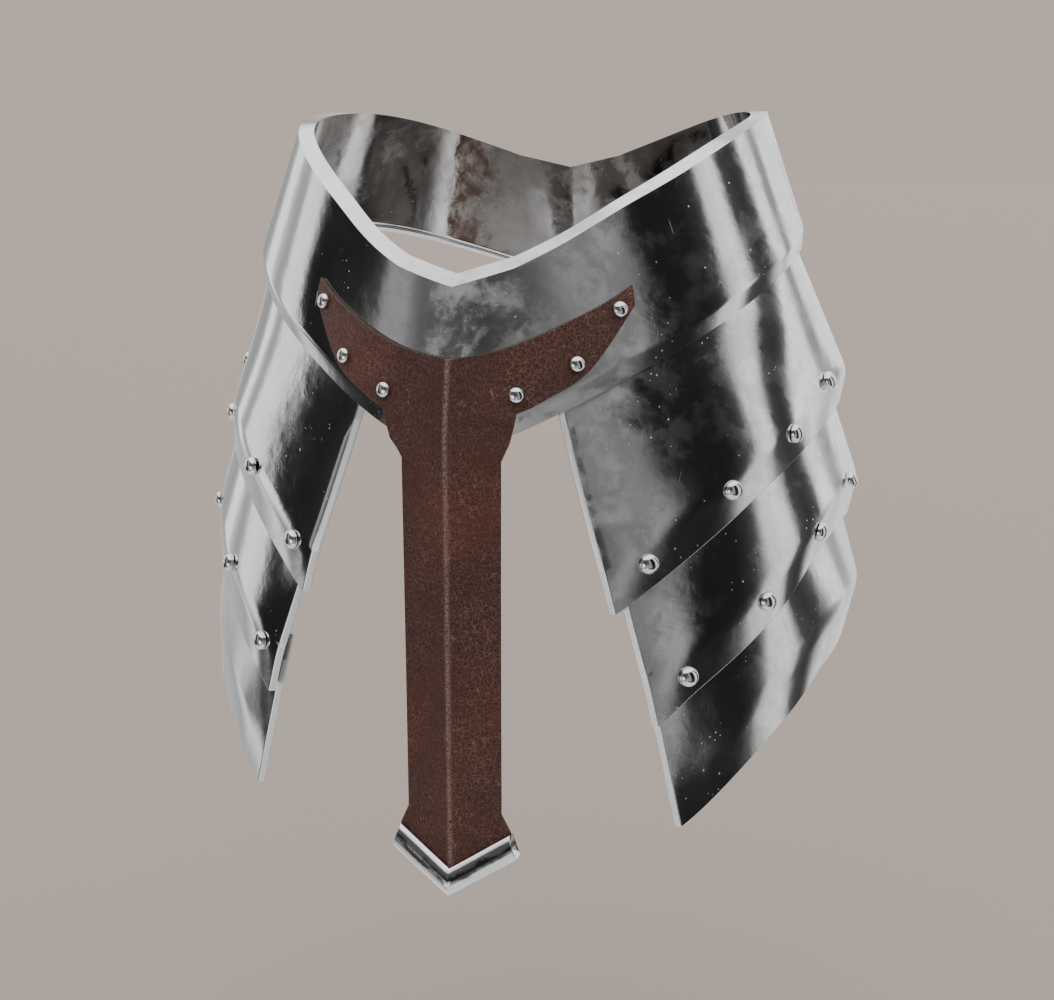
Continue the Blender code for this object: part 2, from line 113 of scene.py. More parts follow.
# top_angle and low_angle are where a line down the plate starts and ends, and low_r and low_z place
# its lower end. The knee is the bulge above it: knee_up is its height over the lower edge, and
# knee_out how far it stands outside that edge. tuck is how far the line passes inside the plate
# above, apart from the usual gap.
LameRow = namedtuple("LameRow", "top_angle low_angle low_r low_z knee_up knee_out tuck")
UPPER = [
    LameRow(26.0, 35.7, 197.5, -221.0, 29, -4.5, 0),
    LameRow(36.5, 45.0, 198.0, -202.0, 29, -2.0, 0),
    LameRow(47.5, 54.0, 202.5, -182.0, 29, -1.0, 0),
    LameRow(57.5, 62.5, 209.5, -162.0, 29, 0.0, 0),
    LameRow(69.5, 73.0, 219.0, -139.0, 30, 0.0, 0),
    LameRow(82.0, 84.0, 227.5, -122.0, 31, -4.0, 1.0),
    LameRow(91.0, 91.5, 233.0, -113.0, 30, -3.0, 2.0),
    LameRow(99.0, 99.0, 240.5, -106.5, 27, 0.5, 1.5),
    LameRow(106.0, 106.0, 249.0, -102.0, 25, 5.0, 1.0),
]
MIDDLE = [
    LameRow(37.5, 42.8, 214.5, -299.5, 29, -5.0, 0),
    LameRow(46.5, 50.7, 217.5, -278.0, 29, -3.0, 0),
    LameRow(56.5, 59.8, 222.5, -257.5, 29, -1.0, 0),
    LameRow(68.5, 70.5, 231.0, -231.0, 29, -0.5, 0),
    LameRow(79.0, 80.0, 234.5, -210.0, 30, 3.0, 0),
    LameRow(88.0, 88.5, 239.0, -198.0, 31, 5.0, 0),
    LameRow(98.5, 98.5, 248.5, -191.5, 31, 6.0, 0),
    LameRow(106.0, 106.0, 258.5, -190.5, 30, 7.0, 0),
]
LOWER = [
    LameRow(42.8, 47.4, 219.0, -375.0, 30, -5.0, 6.0),
    LameRow(49.5, 52.5, 220.0, -364.5, 32, -3.0, 4.0),
    LameRow(57.5, 59.5, 225.0, -345.0, 33, -1.0, 2.5),
    LameRow(66.5, 68.0, 232.5, -321.5, 35, -1.0, 1.0),
    LameRow(76.0, 77.0, 237.5, -304.0, 37, 1.5, 0),
    LameRow(86.0, 86.5, 241.5, -292.0, 40, 5.5, 0),
    LameRow(98.5, 98.5, 251.0, -286.0, 43, 10.0, 0),
    LameRow(106.0, 106.0, 258.5, -285.5, 45, 10.5, 0),
]

# A lame's rows, the rows of the plate above it (None is the band), and how far it runs up behind it.
Lame = namedtuple("Lame", "name rows above overlap")
LAMES = [
    Lame("tasset_upper", UPPER, None, UPPER_OVERLAP),
    Lame("tasset_middle", MIDDLE, UPPER, MIDDLE_OVERLAP),
    Lame("tasset_lower", LOWER, MIDDLE, LOWER_OVERLAP),
]

# %% Sizes of the leather and its chape
LEATHER = 3.0                  # leather's thickness
CHAPE_WALL = 1.6               # chape's walls in front of and behind the leather
CHAPE_DEPTH = 8.0              # how far the leather goes into the chape
END_RIDGE_Y = 177.6            # how far the ridge stands forward at the strap's end
END_SLOPE = 0.33               # how fast the strap's halves fall back from its ridge

# The yoke's outline on the band, and the strap's half width with how far its ridge and its edges
# stand in front of the waist's axis.
YokeRow = namedtuple("YokeRow", "angle upper_z lower_z")
YOKE = [
    YokeRow(0.0, -48.0, -84.0),
    YokeRow(10.5, -42.0, -84.0),
    YokeRow(15.5, -37.5, -83.5),
    YokeRow(23.5, -28.5, -72.5),
    YokeRow(31.5, -19.0, -59.0),
    YokeRow(39.0, -9.5, -35.5),
    YokeRow(45.2, 0.0, -14.0),
]
StrapRow = namedtuple("StrapRow", "z half_width ridge_y edge_y")
STRAP = [
    StrapRow(-103.0, 42.3, 181.0, 170.5),
    StrapRow(-110.0, 38.3, 180.8, 167.8),
    StrapRow(-117.0, 35.0, 180.5, 167.3),
    StrapRow(-200.0, 34.6, 179.7, 167.0),
    StrapRow(-290.0, 34.3, 178.9, 166.5),
    StrapRow(-372.5, 34.2, 178.0, 166.0),
]
EndRow = namedtuple("EndRow", "half_width corner_z point_z")
CHAPE_TOP = EndRow(41.0, -387.0, -411.5)
CHAPE_BOTTOM = EndRow(46.8, -404.5, -431.5)

# %% Places of the rivets
YOKE_RIVET = 5.5               # radius of the heads on the leather
LAME_RIVET = 7.0               # radius of the heads on the lames

# A rivet: its plan angle and height on the left side and on the right, where the smith set them a
# little apart.
RivetRow = namedtuple("RivetRow", "name angle_l z_l angle_r z_r radius")
YOKE_RIVETS = [
    RivetRow("yoke_rivet", 41.0, -16.5, 41.0, -16.5, YOKE_RIVET),
    RivetRow("yoke_rivet", 29.5, -51.5, 29.5, -51.5, YOKE_RIVET),
    RivetRow("yoke_rivet", 15.5, -71.0, 15.5, -71.0, YOKE_RIVET),
]
UPPER_RIVETS = [
    RivetRow("upper_rivet", 43.0, -187.0, 40.5, -185.5, LAME_RIVET),
    RivetRow("upper_rivet", 61.5, -141.5, 58.0, -141.5, LAME_RIVET),
    RivetRow("upper_rivet", 79.0, -109.5, 76.5, -111.0, LAME_RIVET),
    RivetRow("upper_rivet", 95.5, -80.0, 94.5, -79.5, LAME_RIVET),
]
MIDDLE_RIVETS = [
    RivetRow("middle_rivet", 49.0, -266.0, 46.5, -264.0, LAME_RIVET),
    RivetRow("middle_rivet", 66.5, -222.0, 62.5, -218.5, LAME_RIVET),
    RivetRow("middle_rivet", 83.5, -184.0, 80.5, -184.5, LAME_RIVET),
    RivetRow("middle_rivet", 99.5, -158.5, 97.5, -159.5, LAME_RIVET),
]

# %% [markdown]
# ## Reading the tables
# A smooth curve runs through each column of a table. Its pieces are cubics whose slopes agree where
# they meet, so the steel has no kinks that the tables don't ask for. Only the notches at the front
# and back of the band keep straight sides.

# %% Curves through the tables


def hermite(y0, y1, slope0, slope1, width, t):
    """Cubic from y0 to y1 across a span of the given width, at the fraction t."""
    bend0 = t * (1 - t) ** 2 * width * slope0
    bend1 = t * t * (1 - t) * width * slope1
    ease = t * t * (3 - 2 * t)
    return y0 + (y1 - y0) * ease + bend0 - bend1


@lru_cache(maxsize=None)
def slopes(xs, ys, flat_ends):
    """Slopes at the points (xs, ys) with which the cubics between them bend alike where they meet."""
    last = len(xs) - 1
    widths = [xs[k + 1] - xs[k] for k in range(last)]
    chords = [(ys[k + 1] - ys[k]) / widths[k] for k in range(last)]
    found = [0.0] * (last + 1)
    for _ in range(SETTLING_ROUNDS):
        if not flat_ends:
            found[0] = (3 * chords[0] - found[1]) / 2
            found[last] = (3 * chords[-1] - found[last - 1]) / 2
        for k in range(1, last):
            before, after = 1 / widths[k - 1], 1 / widths[k]
            pull = 3 * (chords[k - 1] * before + chords[k] * after)
            pull -= found[k - 1] * before + found[k + 1] * after
            found[k] = pull / (2 * (before + after))
    return found


def smooth(xs, ys, x, flat_ends=False):
    """Value at x of the smooth curve through the points (xs, ys)."""
    last = len(xs) - 1
    i = 0
    while i < last - 1 and x > xs[i + 1]:
        i += 1
    found = slopes(tuple(xs), tuple(ys), flat_ends)
    width = xs[i + 1] - xs[i]
    return hermite(ys[i], ys[i + 1], found[i], found[i + 1], width, (x - xs[i]) / width)


def band_value(column, angle):
    """A column of the band's table at any plan angle; heights keep the notches' straight sides."""
    angle = abs(angle)
    rows = BAND
    flat = True
    if column.endswith("_z"):
        flat = False
        if angle <= NOTCH:
            rows = [row for row in BAND if row.angle <= NOTCH]
        elif angle >= 180 - NOTCH:
            rows = [row for row in BAND if row.angle >= 180 - NOTCH]
        else:
            rows = [row for row in BAND if NOTCH <= row.angle <= 180 - NOTCH]
    return smooth([row.angle for row in rows], [getattr(row, column) for row in rows], angle, flat)


def polar(angle, radius, z):
    """Point in metres from a plan angle in degrees and a radius and height in millimetres."""
    a = math.radians(angle)
    return Vector((radius * math.sin(a), -radius * math.cos(a), z)) * MM


def band_outer_r(angle, z):
    """Radius of the band's outer face at a plan angle and height."""
    rim_r, rim_z = band_value("rim_r", angle), band_value("rim_z", angle)
    crease_r, crease_z = band_value("crease_r", angle), band_value("crease_z", angle)
    low_r, low_z = band_value("low_r", angle), band_value("low_z", angle)
    if z >= crease_z:
        return rim_r + (crease_r - rim_r) * (rim_z - z) / (rim_z - crease_z)
    return crease_r + (low_r - crease_r) * (crease_z - z) / (crease_z - low_z)

# %% Lines down a lame


def lame_value(rows, column, u):
    """A column of a lame's table at u, which runs from 0 at its front edge to 1 at its rear edge."""
    places = [i / (len(rows) - 1) for i in range(len(rows))]
    return smooth(places, [getattr(row, column) for row in rows], u)


def low_edge(rows, angle):
    """Radius and height of a plate's lower edge at a plan angle; no rows means the band."""
    if rows is None:
        return band_value("low_r", angle), band_value("low_z", angle)
    angles = [row.low_angle for row in rows]
    radius = smooth(angles, [row.low_r for row in rows], angle)
    return radius, smooth(angles, [row.low_z for row in rows], angle)


def lame_line(lame, u):
    """Three points (plan angle, radius, height) down a lame's outer face: top, knee, lower edge.
    The straight stretch from top to knee passes just inside the lower edge of the plate above."""
    top_angle, low_angle = lame_value(lame.rows, "top_angle", u), lame_value(lame.rows, "low_angle", u)
    low_r, low_z = lame_value(lame.rows, "low_r", u), lame_value(lame.rows, "low_z", u)
    knee_r = low_r + lame_value(lame.rows, "knee_out", u)
    knee_z = low_z + lame_value(lame.rows, "knee_up", u)
    top_z = low_edge(lame.above, top_angle)[1] + lame.overlap
    lean = (low_angle - top_angle) / (top_z - low_z)
    throat_angle = top_angle + lean * lame.overlap
    throat_r, throat_z = low_edge(lame.above, throat_angle)
    throat_r -= LAME_WALL + GAP + lame_value(lame.rows, "tuck", u)
    slope = (knee_r - throat_r) / (throat_z - knee_z)
    top_r = throat_r - slope * (top_z - throat_z)
    knee_angle = top_angle + lean * (top_z - knee_z)
    return (top_angle, top_r, top_z), (knee_angle, knee_r, knee_z), (low_angle, low_r, low_z)

# %% [markdown]
# ## Making a mesh
# Every piece here is a skin of quads between rows of points, so one helper turns points and faces
# into an object. Bends that a smith rounds over a stake are rounded by a short quadratic curve
# between two straight runs. The sharp cut edges get a Bevel modifier, which also hardens the
# normals: the wide faces then stay flat in shading and only the narrow bevel catches the light.

# %% Helpers for meshes
CUT_ANGLE = math.radians(38)   # edges that turn more than this are cut edges, and are bevelled
LONGEST_ROUND = 0.45           # a rounded corner takes at most this share of each run beside it
FACES_IN = -0.25               # a normal that points outwards less than this belongs to the inside
EDGEWAYS = 0.5                 # a normal that points neither in nor out more than this is a cut edge
STRAP_START = -0.1             # height in metres below which the leather hangs and faces forward


def rounded_line(start, corner, end, reach, steps_before, steps_round, steps_after):
    """Points from start over a corner to end, with the corner rounded over the given reach."""
    before, after = start - corner, end - corner
    enter = corner + before.normalized() * min(reach, before.length * LONGEST_ROUND)
    leave = corner + after.normalized() * min(reach, after.length * LONGEST_ROUND)
    points = [start.lerp(enter, i / steps_before) for i in range(steps_before)]
    for i in range(steps_round):
        t = i / steps_round
        points.append(enter.lerp(corner, t).lerp(corner.lerp(leave, t), t))
    points += [leave.lerp(end, i / steps_after) for i in range(steps_after + 1)]
    return points


def add_object(name, points, faces):
    """Object from points and faces, with its faces turned outwards and smooth shading."""
    mesh = bpy.data.meshes.new(name)
    shape = bmesh.new()
    corners = [shape.verts.new(p) for p in points]
    for face in faces:
        shape.faces.new([corners[i] for i in face])
    bmesh.ops.recalc_face_normals(shape, faces=shape.faces)
    shape.to_mesh(mesh)
    shape.free()
    mesh.shade_smooth()
    item = bpy.data.objects.new(name, mesh)
    bpy.context.scene.collection.objects.link(item)
    return item


def bevel(item, width, segments=3):
    """Rounds an object's cut edges to the given width in millimetres."""
    edge = item.modifiers.new("edge", "BEVEL")
    edge.width = width * MM
    edge.segments = segments
    edge.limit_method = "ANGLE"
    edge.angle_limit = CUT_ANGLE
    edge.harden_normals = True
    edge.use_clamp_overlap = True


def bake(item):
    """Turns an object with modifiers into a plain mesh."""
    view = bpy.context.evaluated_depsgraph_get()
    plain = bpy.data.meshes.new_from_object(item.evaluated_get(view))
    plain.name = item.name
    item.modifiers.clear()
    item.data = plain
    item.data.calc_loop_triangles()
    print(item.name, "has", len(plain.loop_triangles), "triangles")
    return item

# %% Marks for the finishes


def mark_all(item, name):
    """Marks a whole piece, so that a finish shared by several pieces can treat it differently."""
    mark = item.data.attributes.new(name, "FLOAT", "POINT")
    mark.data.foreach_set("value", [1.0] * len(item.data.vertices))


def mark_inside(item):
    """Marks the points that face the wearer, so that a finish can treat that side differently."""
    mark = item.data.attributes.new("inside", "FLOAT", "POINT")
    for vertex, value in zip(item.data.vertices, mark.data):
        outwards = Vector((vertex.co.x, vertex.co.y, 0)).normalized()
        value.value = 1.0 if vertex.normal.dot(outwards) < FACES_IN else 0.0
    return item


def mark_cut(item):
    """Marks the narrow faces along a sheet's cut edge, which look neither outwards nor inwards."""
    mark = item.data.attributes.new("cut", "FLOAT", "FACE")
    for face, value in zip(item.data.polygons, mark.data):
        outwards = Vector((face.center.x, face.center.y, 0)).normalized()
        if face.center.z < STRAP_START:
            outwards = Vector((0, -1, 0))
        value.value = 1.0 if abs(face.normal.dot(outwards)) < EDGEWAYS else 0.0
    return item

# %% [markdown]
# ## The band
# The band is hammered from one sheet: a thick rim that sits on the hips, a wall that flares out
# below it, a crease all round, and a short bevel down to the lower edge. The rim dips to a notch in
# front and behind. One section is worked out every degree and a half and joined to its neighbours.

# %% Make the band
BAND_STEPS = 240
BAND_ROWS = (8, 4, 2)          # rows of mesh before, round and after the crease
INNER_ROWS = (2, 2, 8)         # the same inside, round the bevel's upper end
LIP_ROWS = 8
CREASE_ROUND = 2.5
INNER_ROUND = 1.0
BAND_EDGE = 0.8                # width of the small bevel on cut edges
ROLL = 1.8                     # how far the rolled lip behind stands in from the lower edge's wall
ROLL_START = 108.0             # plan angles between which the lip rises, behind the lames
ROLL_FULL = 124.0


def ring_vector(radius, z):
    """Point of a section, which lies in a plane of its own until polar turns it into place."""
    return Vector((radius, z, 0.0))


def band_section(angle):
    """Closed section of the band as (radius, height) points."""
    rim_r, rim_z = band_value("rim_r", angle), band_value("rim_z", angle)
    crease_r, crease_z = band_value("crease_r", angle), band_value("crease_z", angle)
    low_r, low_z = band_value("low_r", angle), band_value("low_z", angle)
    bevel_z = low_z + INNER_BEVEL
    rim = ring_vector(rim_r, rim_z)
    crease = ring_vector(crease_r, crease_z)
    low = ring_vector(low_r, low_z)
    outside = rounded_line(rim, crease, low, CREASE_ROUND, *BAND_ROWS)
    low_inside = ring_vector(low_r - LOW_WALL, low_z)
    inner_bevel = ring_vector(band_outer_r(angle, bevel_z) - CREASE_WALL, bevel_z)
    rim_inside = ring_vector(rim_r - RIM_WALL, rim_z + band_value("lip", angle))
    rise = min(max((abs(angle) - ROLL_START) / (ROLL_FULL - ROLL_START), 0.0), 1.0)
    lip = []
    for k in range(1, LIP_ROWS):
        inwards = ROLL * rise * math.sin(math.pi * k / LIP_ROWS)
        lip.append(low_inside.lerp(inner_bevel, k / LIP_ROWS) - ring_vector(inwards, 0))
    inside = rounded_line(low_inside, inner_bevel, rim_inside, INNER_ROUND, *INNER_ROWS)
    return outside + inside[:1] + lip + inside[2:]


def loop_faces(loops, sides):
    """Quads between rings of points, the last ring joined to the first."""
    faces = []
    for i in range(loops):
        here, there = i * sides, (i + 1) % loops * sides
        for j in range(sides):
            k = (j + 1) % sides
            faces.append((here + j, here + k, there + k, there + j))
    return faces


def make_band():
    points = []
    for i in range(BAND_STEPS):
        angle = 360 * i / BAND_STEPS - 180
        section = band_section(angle)
        points += [polar(angle, p.x, p.y) for p in section]
    band = add_object("waist_band_skin", points, loop_faces(BAND_STEPS, len(section)))
    bevel(band, BAND_EDGE)
    bake(band)
    mark_all(band, "band")
    mark_inside(band)
    # The rolled lip is left out of the inside mark, so it keeps the outside's colour and polish and
    # stays bright.
    for vertex, value in zip(band.data.vertices, band.data.attributes["inside"].data):
        angle = math.degrees(math.atan2(vertex.co.x, -vertex.co.y))
        if vertex.co.z / MM < band_value("low_z", angle) + INNER_BEVEL:
            value.value = 0.0
    return band


band = make_band()

# %% [markdown]
# ## The lames
# Each hip has three plates. A plate starts behind the one above it, runs down and outwards to a
# knee, and turns in again to its lower edge. Its front edge is cut to face forward. The plate is a
# grid of points on the outer face and the same grid one wall further in.

# %% Make the lames
LAME_COLUMNS = 90
LAME_ROWS = (8, 12, 4)         # rows of mesh before, round and after the knee
KNEE_ROUND = 8.0
EDGE_COLUMN = 6.0              # distance from the front edge to the next column of mesh
LAME_EDGE = 0.9                # width of the small bevel on cut edges
FILED_SIDE, FILED_FRONT = 0.1, -0.75   # how a filed face's normal lies sideways and to the front
EDGE_TURN = 1.2                # how far the filed edge's inner line lies behind its outer one


def lame_rows(lame, u):
    """Points (plan angle, radius, height) down a lame's outer face, with a rounded knee."""
    top, knee, low = (Vector(p) for p in lame_line(lame, u))
    return rounded_line(top, knee, low, KNEE_ROUND, *LAME_ROWS)


def mark_filed(plate, side):
    """Marks a lame's front edge, which the smith files flat and leaves satin."""
    mark = plate.data.attributes.new("filed", "FLOAT", "FACE")
    for face, value in zip(plate.data.polygons, mark.data):
        in_front = side * face.normal.x < FILED_SIDE and face.normal.y < FILED_FRONT
        value.value = 1.0 if in_front else 0.0


def slab_faces(columns, lines):
    """Faces of a slab between two grids of points, listed one after the other."""
    shift = columns * lines
    faces = []
    for i in range(columns - 1):
        for j in range(lines - 1):
            a, b = i * lines + j, (i + 1) * lines + j
            faces.append((a, b, b + 1, a + 1))
            faces.append((shift + a, shift + a + 1, shift + b + 1, shift + b))
        for j in (0, lines - 1):
            a, b = i * lines + j, (i + 1) * lines + j
            faces.append((a, shift + a, shift + b, b))
    for j in range(lines - 1):
        for i in (0, columns - 1):
            a = i * lines + j
            faces.append((a, a + 1, shift + a + 1, shift + a))
    return faces


def make_lame(lame, letter, side):
    knee_front, knee_rear = lame_line(lame, 0)[1], lame_line(lame, 1)[1]
    length = (polar(*knee_rear) - polar(*knee_front)).length / MM
    first = EDGE_COLUMN / length
    us = [0] + [first + (1 - first) * i / LAME_COLUMNS for i in range(LAME_COLUMNS + 1)]
    outer, inner = [], []
    for u in us:
        rows = lame_rows(lame, u)
        for angle, r, z in rows:
            outer.append(polar(side * angle, r, z))
            if u == 0:
                inner.append(outer[-1] + Vector((-side * EDGE_FACE, EDGE_TURN, 0)) * MM)
            else:
                inner.append(polar(side * angle, r - LAME_WALL, z))
    faces = slab_faces(len(us), len(rows))
    plate = add_object(f"{lame.name}_{letter}_skin", outer + inner, faces)
    bevel(plate, LAME_EDGE)
    bake(plate)
    mark_filed(plate, side)
    return mark_inside(plate)


lames = {}
for letter, side in (("l", 1), ("r", -1)):
    for lame in LAMES:
        lames[f"{lame.name}_{letter}"] = make_lame(lame, letter, side)

# %% [markdown]
# ## The leather
# One piece of thick leather makes the yoke, whose two horns are riveted to the band, and the strap
# that hangs from it. The strap is pressed along its middle into a low ridge, so its two halves fall
# back to the sides. The sheet is modelled as the leather's inner face, and Solidify gives it its
# thickness outwards.

# %% Make the leather
HORN_COLUMNS = 24
STRAP_COLUMNS = 10
YOKE_ROWS = 12
STRAP_STEP = 6.0               # millimetres between rows down the strap
LEATHER_EDGE = 0.8             # width of the small bevel on cut edges


def yoke_value(column, angle):
    return smooth([row.angle for row in YOKE], [getattr(row, column) for row in YOKE], angle)


def yoke_point(angle, z):
    """Point on the leather's inner face where it lies on the band."""
    return polar(angle, band_outer_r(angle, z) + GAP, z)


def crease_point(angle):
    """Point on the leather's inner face just below the band's crease."""
    return polar(angle, band_value("crease_r", angle) + 2 * GAP, band_value("crease_z", angle) - 2 * GAP)


def strap_point(row, across):
    """Point on the strap's inner face; across runs from -1 to 1 over its width."""
    y = row.ridge_y - (row.ridge_y - row.edge_y) * abs(across) - LEATHER
    return Vector((across * row.half_width, -y, row.z)) * MM


def end_point(end, across, in_front):
    """Point on the strap's pointed end, in_front millimetres before the leather's inner face."""
    x = across * end.half_width
    y = END_RIDGE_Y - LEATHER - END_SLOPE * abs(x) + in_front
    z = end.point_z + (end.corner_z - end.point_z) * abs(across)
    return Vector((x, -y, z)) * MM

# %% Join the yoke and the strap


def strap_rows(across, neck):
    """Rows of points down the strap, from just below the band's crease into the chape."""
    tucked = EndRow(CHAPE_TOP.half_width - 2 * GAP,
                    CHAPE_TOP.corner_z - CHAPE_DEPTH,
                    CHAPE_TOP.point_z - CHAPE_DEPTH)
    marks = [[crease_point(s * neck) for s in across]]
    marks += [[strap_point(row, s) for s in across] for row in STRAP]
    marks += [[end_point(end, s, 0) for s in across] for end in (CHAPE_TOP, tucked)]
    rows = [marks[0]]
    for upper_row, lower_row in zip(marks, marks[1:]):
        drop = (upper_row[0] - lower_row[0]).length / MM
        steps = max(1, round(drop / STRAP_STEP))
        for k in range(1, steps + 1):
            rows.append([a.lerp(b, k / steps) for a, b in zip(upper_row, lower_row)])
    return rows


def yoke_grid(angles):
    """Points and faces of the yoke, column by column from one horn's tip to the other's."""
    points, faces = [], []
    for angle in angles:
        upper, lower = yoke_value("upper_z", abs(angle)), yoke_value("lower_z", abs(angle))
        for i in range(YOKE_ROWS + 1):
            points.append(yoke_point(angle, upper + (lower - upper) * i / YOKE_ROWS))
    lines = YOKE_ROWS + 1
    for i in range(len(angles) - 1):
        for j in range(YOKE_ROWS):
            a, b = i * lines + j, (i + 1) * lines + j
            faces.append((a, b, b + 1, a + 1))
    return points, faces


def make_leather():
    neck, tip = YOKE[2].angle, YOKE[-1].angle
    horn = [neck + (tip - neck) * (i + 1) / HORN_COLUMNS for i in range(HORN_COLUMNS)]
    across = [i / STRAP_COLUMNS for i in range(-STRAP_COLUMNS, STRAP_COLUMNS + 1)]
    angles = [-a for a in reversed(horn)] + [s * neck for s in across] + horn
    points, faces = yoke_grid(angles)
    last_row = [(HORN_COLUMNS + i) * (YOKE_ROWS + 1) + YOKE_ROWS for i in range(len(across))]
    for row in strap_rows(across, neck):
        this_row = list(range(len(points), len(points) + len(across)))
        points += row
        for i in range(len(across) - 1):
            faces.append((last_row[i], last_row[i + 1], this_row[i + 1], this_row[i]))
        last_row = this_row
    leather = add_object("leather_tab_skin", points, faces)
    flat_area = sum(face.area for face in leather.data.polygons)
    thickness = leather.modifiers.new("thickness", "SOLIDIFY")
    thickness.thickness = LEATHER * MM
    thickness.offset = 1
    bevel(leather, LEATHER_EDGE)
    return mark_cut(mark_inside(bake(leather))), flat_area


leather, leather_area = make_leather()
print("leather:", round(leather_area * 1e4), "square centimetres")

# %% [markdown]
# ## The chape
# The chape is a steel cap folded over the strap's pointed end. Its section is a U that is open at
# the top, and it runs from one side to the other past the ridge.

# %% Make the chape
CHAPE_COLUMNS = 12
CROWN_ROWS = 8
CHAPE_EDGE = 0.6               # width of the small bevel on cut edges
CHAPE_FLARE = 3.0              # how much further forward the cap's front stands at its lower edge
CROWN = 3.8                    # how far the cap's front swells between its edges


def chape_section(across):
    """Section of the cap: a swelling front, then a U open at the top, whose slot takes the leather."""
    back, front = -GAP, LEATHER + GAP
    floor = Vector((0, 0, -(CHAPE_DEPTH + 3 * GAP) * MM))
    upper = end_point(CHAPE_TOP, across, front + CHAPE_WALL)
    lower = end_point(CHAPE_BOTTOM, across, front + CHAPE_WALL + CHAPE_FLARE)
    swell = Vector((0, -4 * CROWN * MM, 0))
    crown = []
    for i in range(CROWN_ROWS + 1):
        t = i / CROWN_ROWS
        crown.append(upper.lerp(lower, t) + swell * t * (1 - t))
    return crown + [
        end_point(CHAPE_BOTTOM, across, back - CHAPE_WALL),
        end_point(CHAPE_TOP, across, back - CHAPE_WALL),
        end_point(CHAPE_TOP, across, back),
        end_point(CHAPE_TOP, across, back) + floor,
        end_point(CHAPE_TOP, across, front) + floor,
        end_point(CHAPE_TOP, across, front),
    ]


def make_chape():
    sections = [chape_section(i / CHAPE_COLUMNS) for i in range(-CHAPE_COLUMNS, CHAPE_COLUMNS + 1)]
    points = [point for section in sections for point in section]
    sides = len(sections[0])
    faces = loop_faces(len(sections), sides)[:-sides]
    low_back, top_back, slot_back, floor_back, floor_front, slot_front = range(CROWN_ROWS + 1, sides)
    front_wall = list(range(CROWN_ROWS + 1)) + [floor_front, slot_front]
    bottom = [CROWN_ROWS, low_back, floor_back, floor_front]
    back_wall = [low_back, top_back, slot_back, floor_back]
    for first in (0, len(points) - sides):
        faces += [[first + i for i in wall] for wall in (front_wall, bottom, back_wall)]
    chape = add_object("chape_skin", points, faces)
    bevel(chape, CHAPE_EDGE)
    bake(chape)
    mark_all(chape, "polished")
    return mark_inside(chape)


chape = make_chape()

# %% [markdown]
# ## Building with nodes
# The rivet heads and the finishes are both small machines made of nodes. For a finish, texture
# nodes make patterns, maths nodes shape them, and the shader turns them into colour, gloss and
# relief. A few short helpers keep both readable. The patterns are read from Object coordinates,
# which are the same metres as the tables above, so a pattern runs on from one plate to the next
# and keeps its true size.

# %% Helpers for nodes
SOCKET = bpy.types.NodeSocket


def node(tree, kind, *inputs, **settings):
    """Add a node; its inputs are numbers or other nodes' outputs, and None skips one."""
    made = tree.nodes.new("ShaderNode" + kind)
    for name, value in settings.items():
        setattr(made, name, value)
    for socket, value in zip(made.inputs, inputs):
        if isinstance(value, SOCKET):
            tree.links.new(value, socket)
        elif value is not None:
            socket.default_value = value
    return made.outputs[0]


def maths(tree, operation, *inputs):
    return node(tree, "Math", *inputs, operation=operation)


def ramp(tree, value, start, end, low=0.0, high=1.0):
    """Ease a value from low to high while it goes from start to end."""
    return node(tree, "MapRange", value, start, end, low, high, interpolation_type="SMOOTHSTEP")


def noise(tree, place, scale, detail, roughness=0.5, distortion=0.0):
    """Smoky noise round 0.5, whose largest lumps are about 1 / scale metres across."""
    made = node(tree, "TexNoise", place)
    texture = made.node
    texture.inputs["Scale"].default_value = scale
    texture.inputs["Detail"].default_value = detail
    texture.inputs["Roughness"].default_value = roughness
    texture.inputs["Distortion"].default_value = distortion
    return made


def blend(tree, factor, first, second):
    """Mix two colours."""
    made = tree.nodes.new("ShaderNodeMix")
    made.data_type = "RGBA"
    sockets = [made.inputs[0], made.inputs[6], made.inputs[7]]
    for socket, value in zip(sockets, (factor, first, second)):
        if isinstance(value, SOCKET):
            tree.links.new(value, socket)
        else:
            socket.default_value = value
    return made.outputs[2]


def new_material(name):
    material = bpy.data.materials.new(name)
    material.use_nodes = True
    return material, material.node_tree, material.node_tree.nodes["Principled BSDF"]

# %% [markdown]
# ## The rivets
# Twenty-two domed heads hold the armour together. They are one shape repeated, so Geometry Nodes
# make them: a mesh holds one point for each seat, with the direction that the plate faces there and
# the head's radius, and the tree puts a head on each point.

# %% Find the seats
SEARCH_STEPS = 40
SEARCH_ANGLE = 125.0
SEARCH_HEIGHT = 80.0


def lame_point(lame, u, v):
    """Plan angle, radius and height on a lame's outer face; v is 0 at its top, 1 at its knee
    and 2 at its lower edge."""
    top, knee, low = lame_line(lame, u)
    start, end, t = (top, knee, v) if v <= 1 else (knee, low, v - 1)
    return tuple(a + (b - a) * t for a, b in zip(start, end))


def surface_frame(point_at, angle, z):
    """Point and outward normal of a surface given as a function of plan angle and height."""
    step = 1.0
    here = point_at(angle, z)
    round_the_waist = point_at(angle + step, z) - point_at(angle - step, z)
    upwards = point_at(angle, z + step) - point_at(angle, z - step)
    return here, round_the_waist.cross(upwards).normalized()


def lame_at(lame, angle, z):
    """Point on a lame's outer face at a plan angle and height, found by steps from its knee."""
    u, v = 0.5, 1.0
    for _ in range(SEARCH_STEPS):
        here_angle, _, here_z = lame_point(lame, u, v)
        u += (angle - here_angle) / SEARCH_ANGLE
        v += (here_z - z) / SEARCH_HEIGHT
    return polar(*lame_point(lame, u, v))


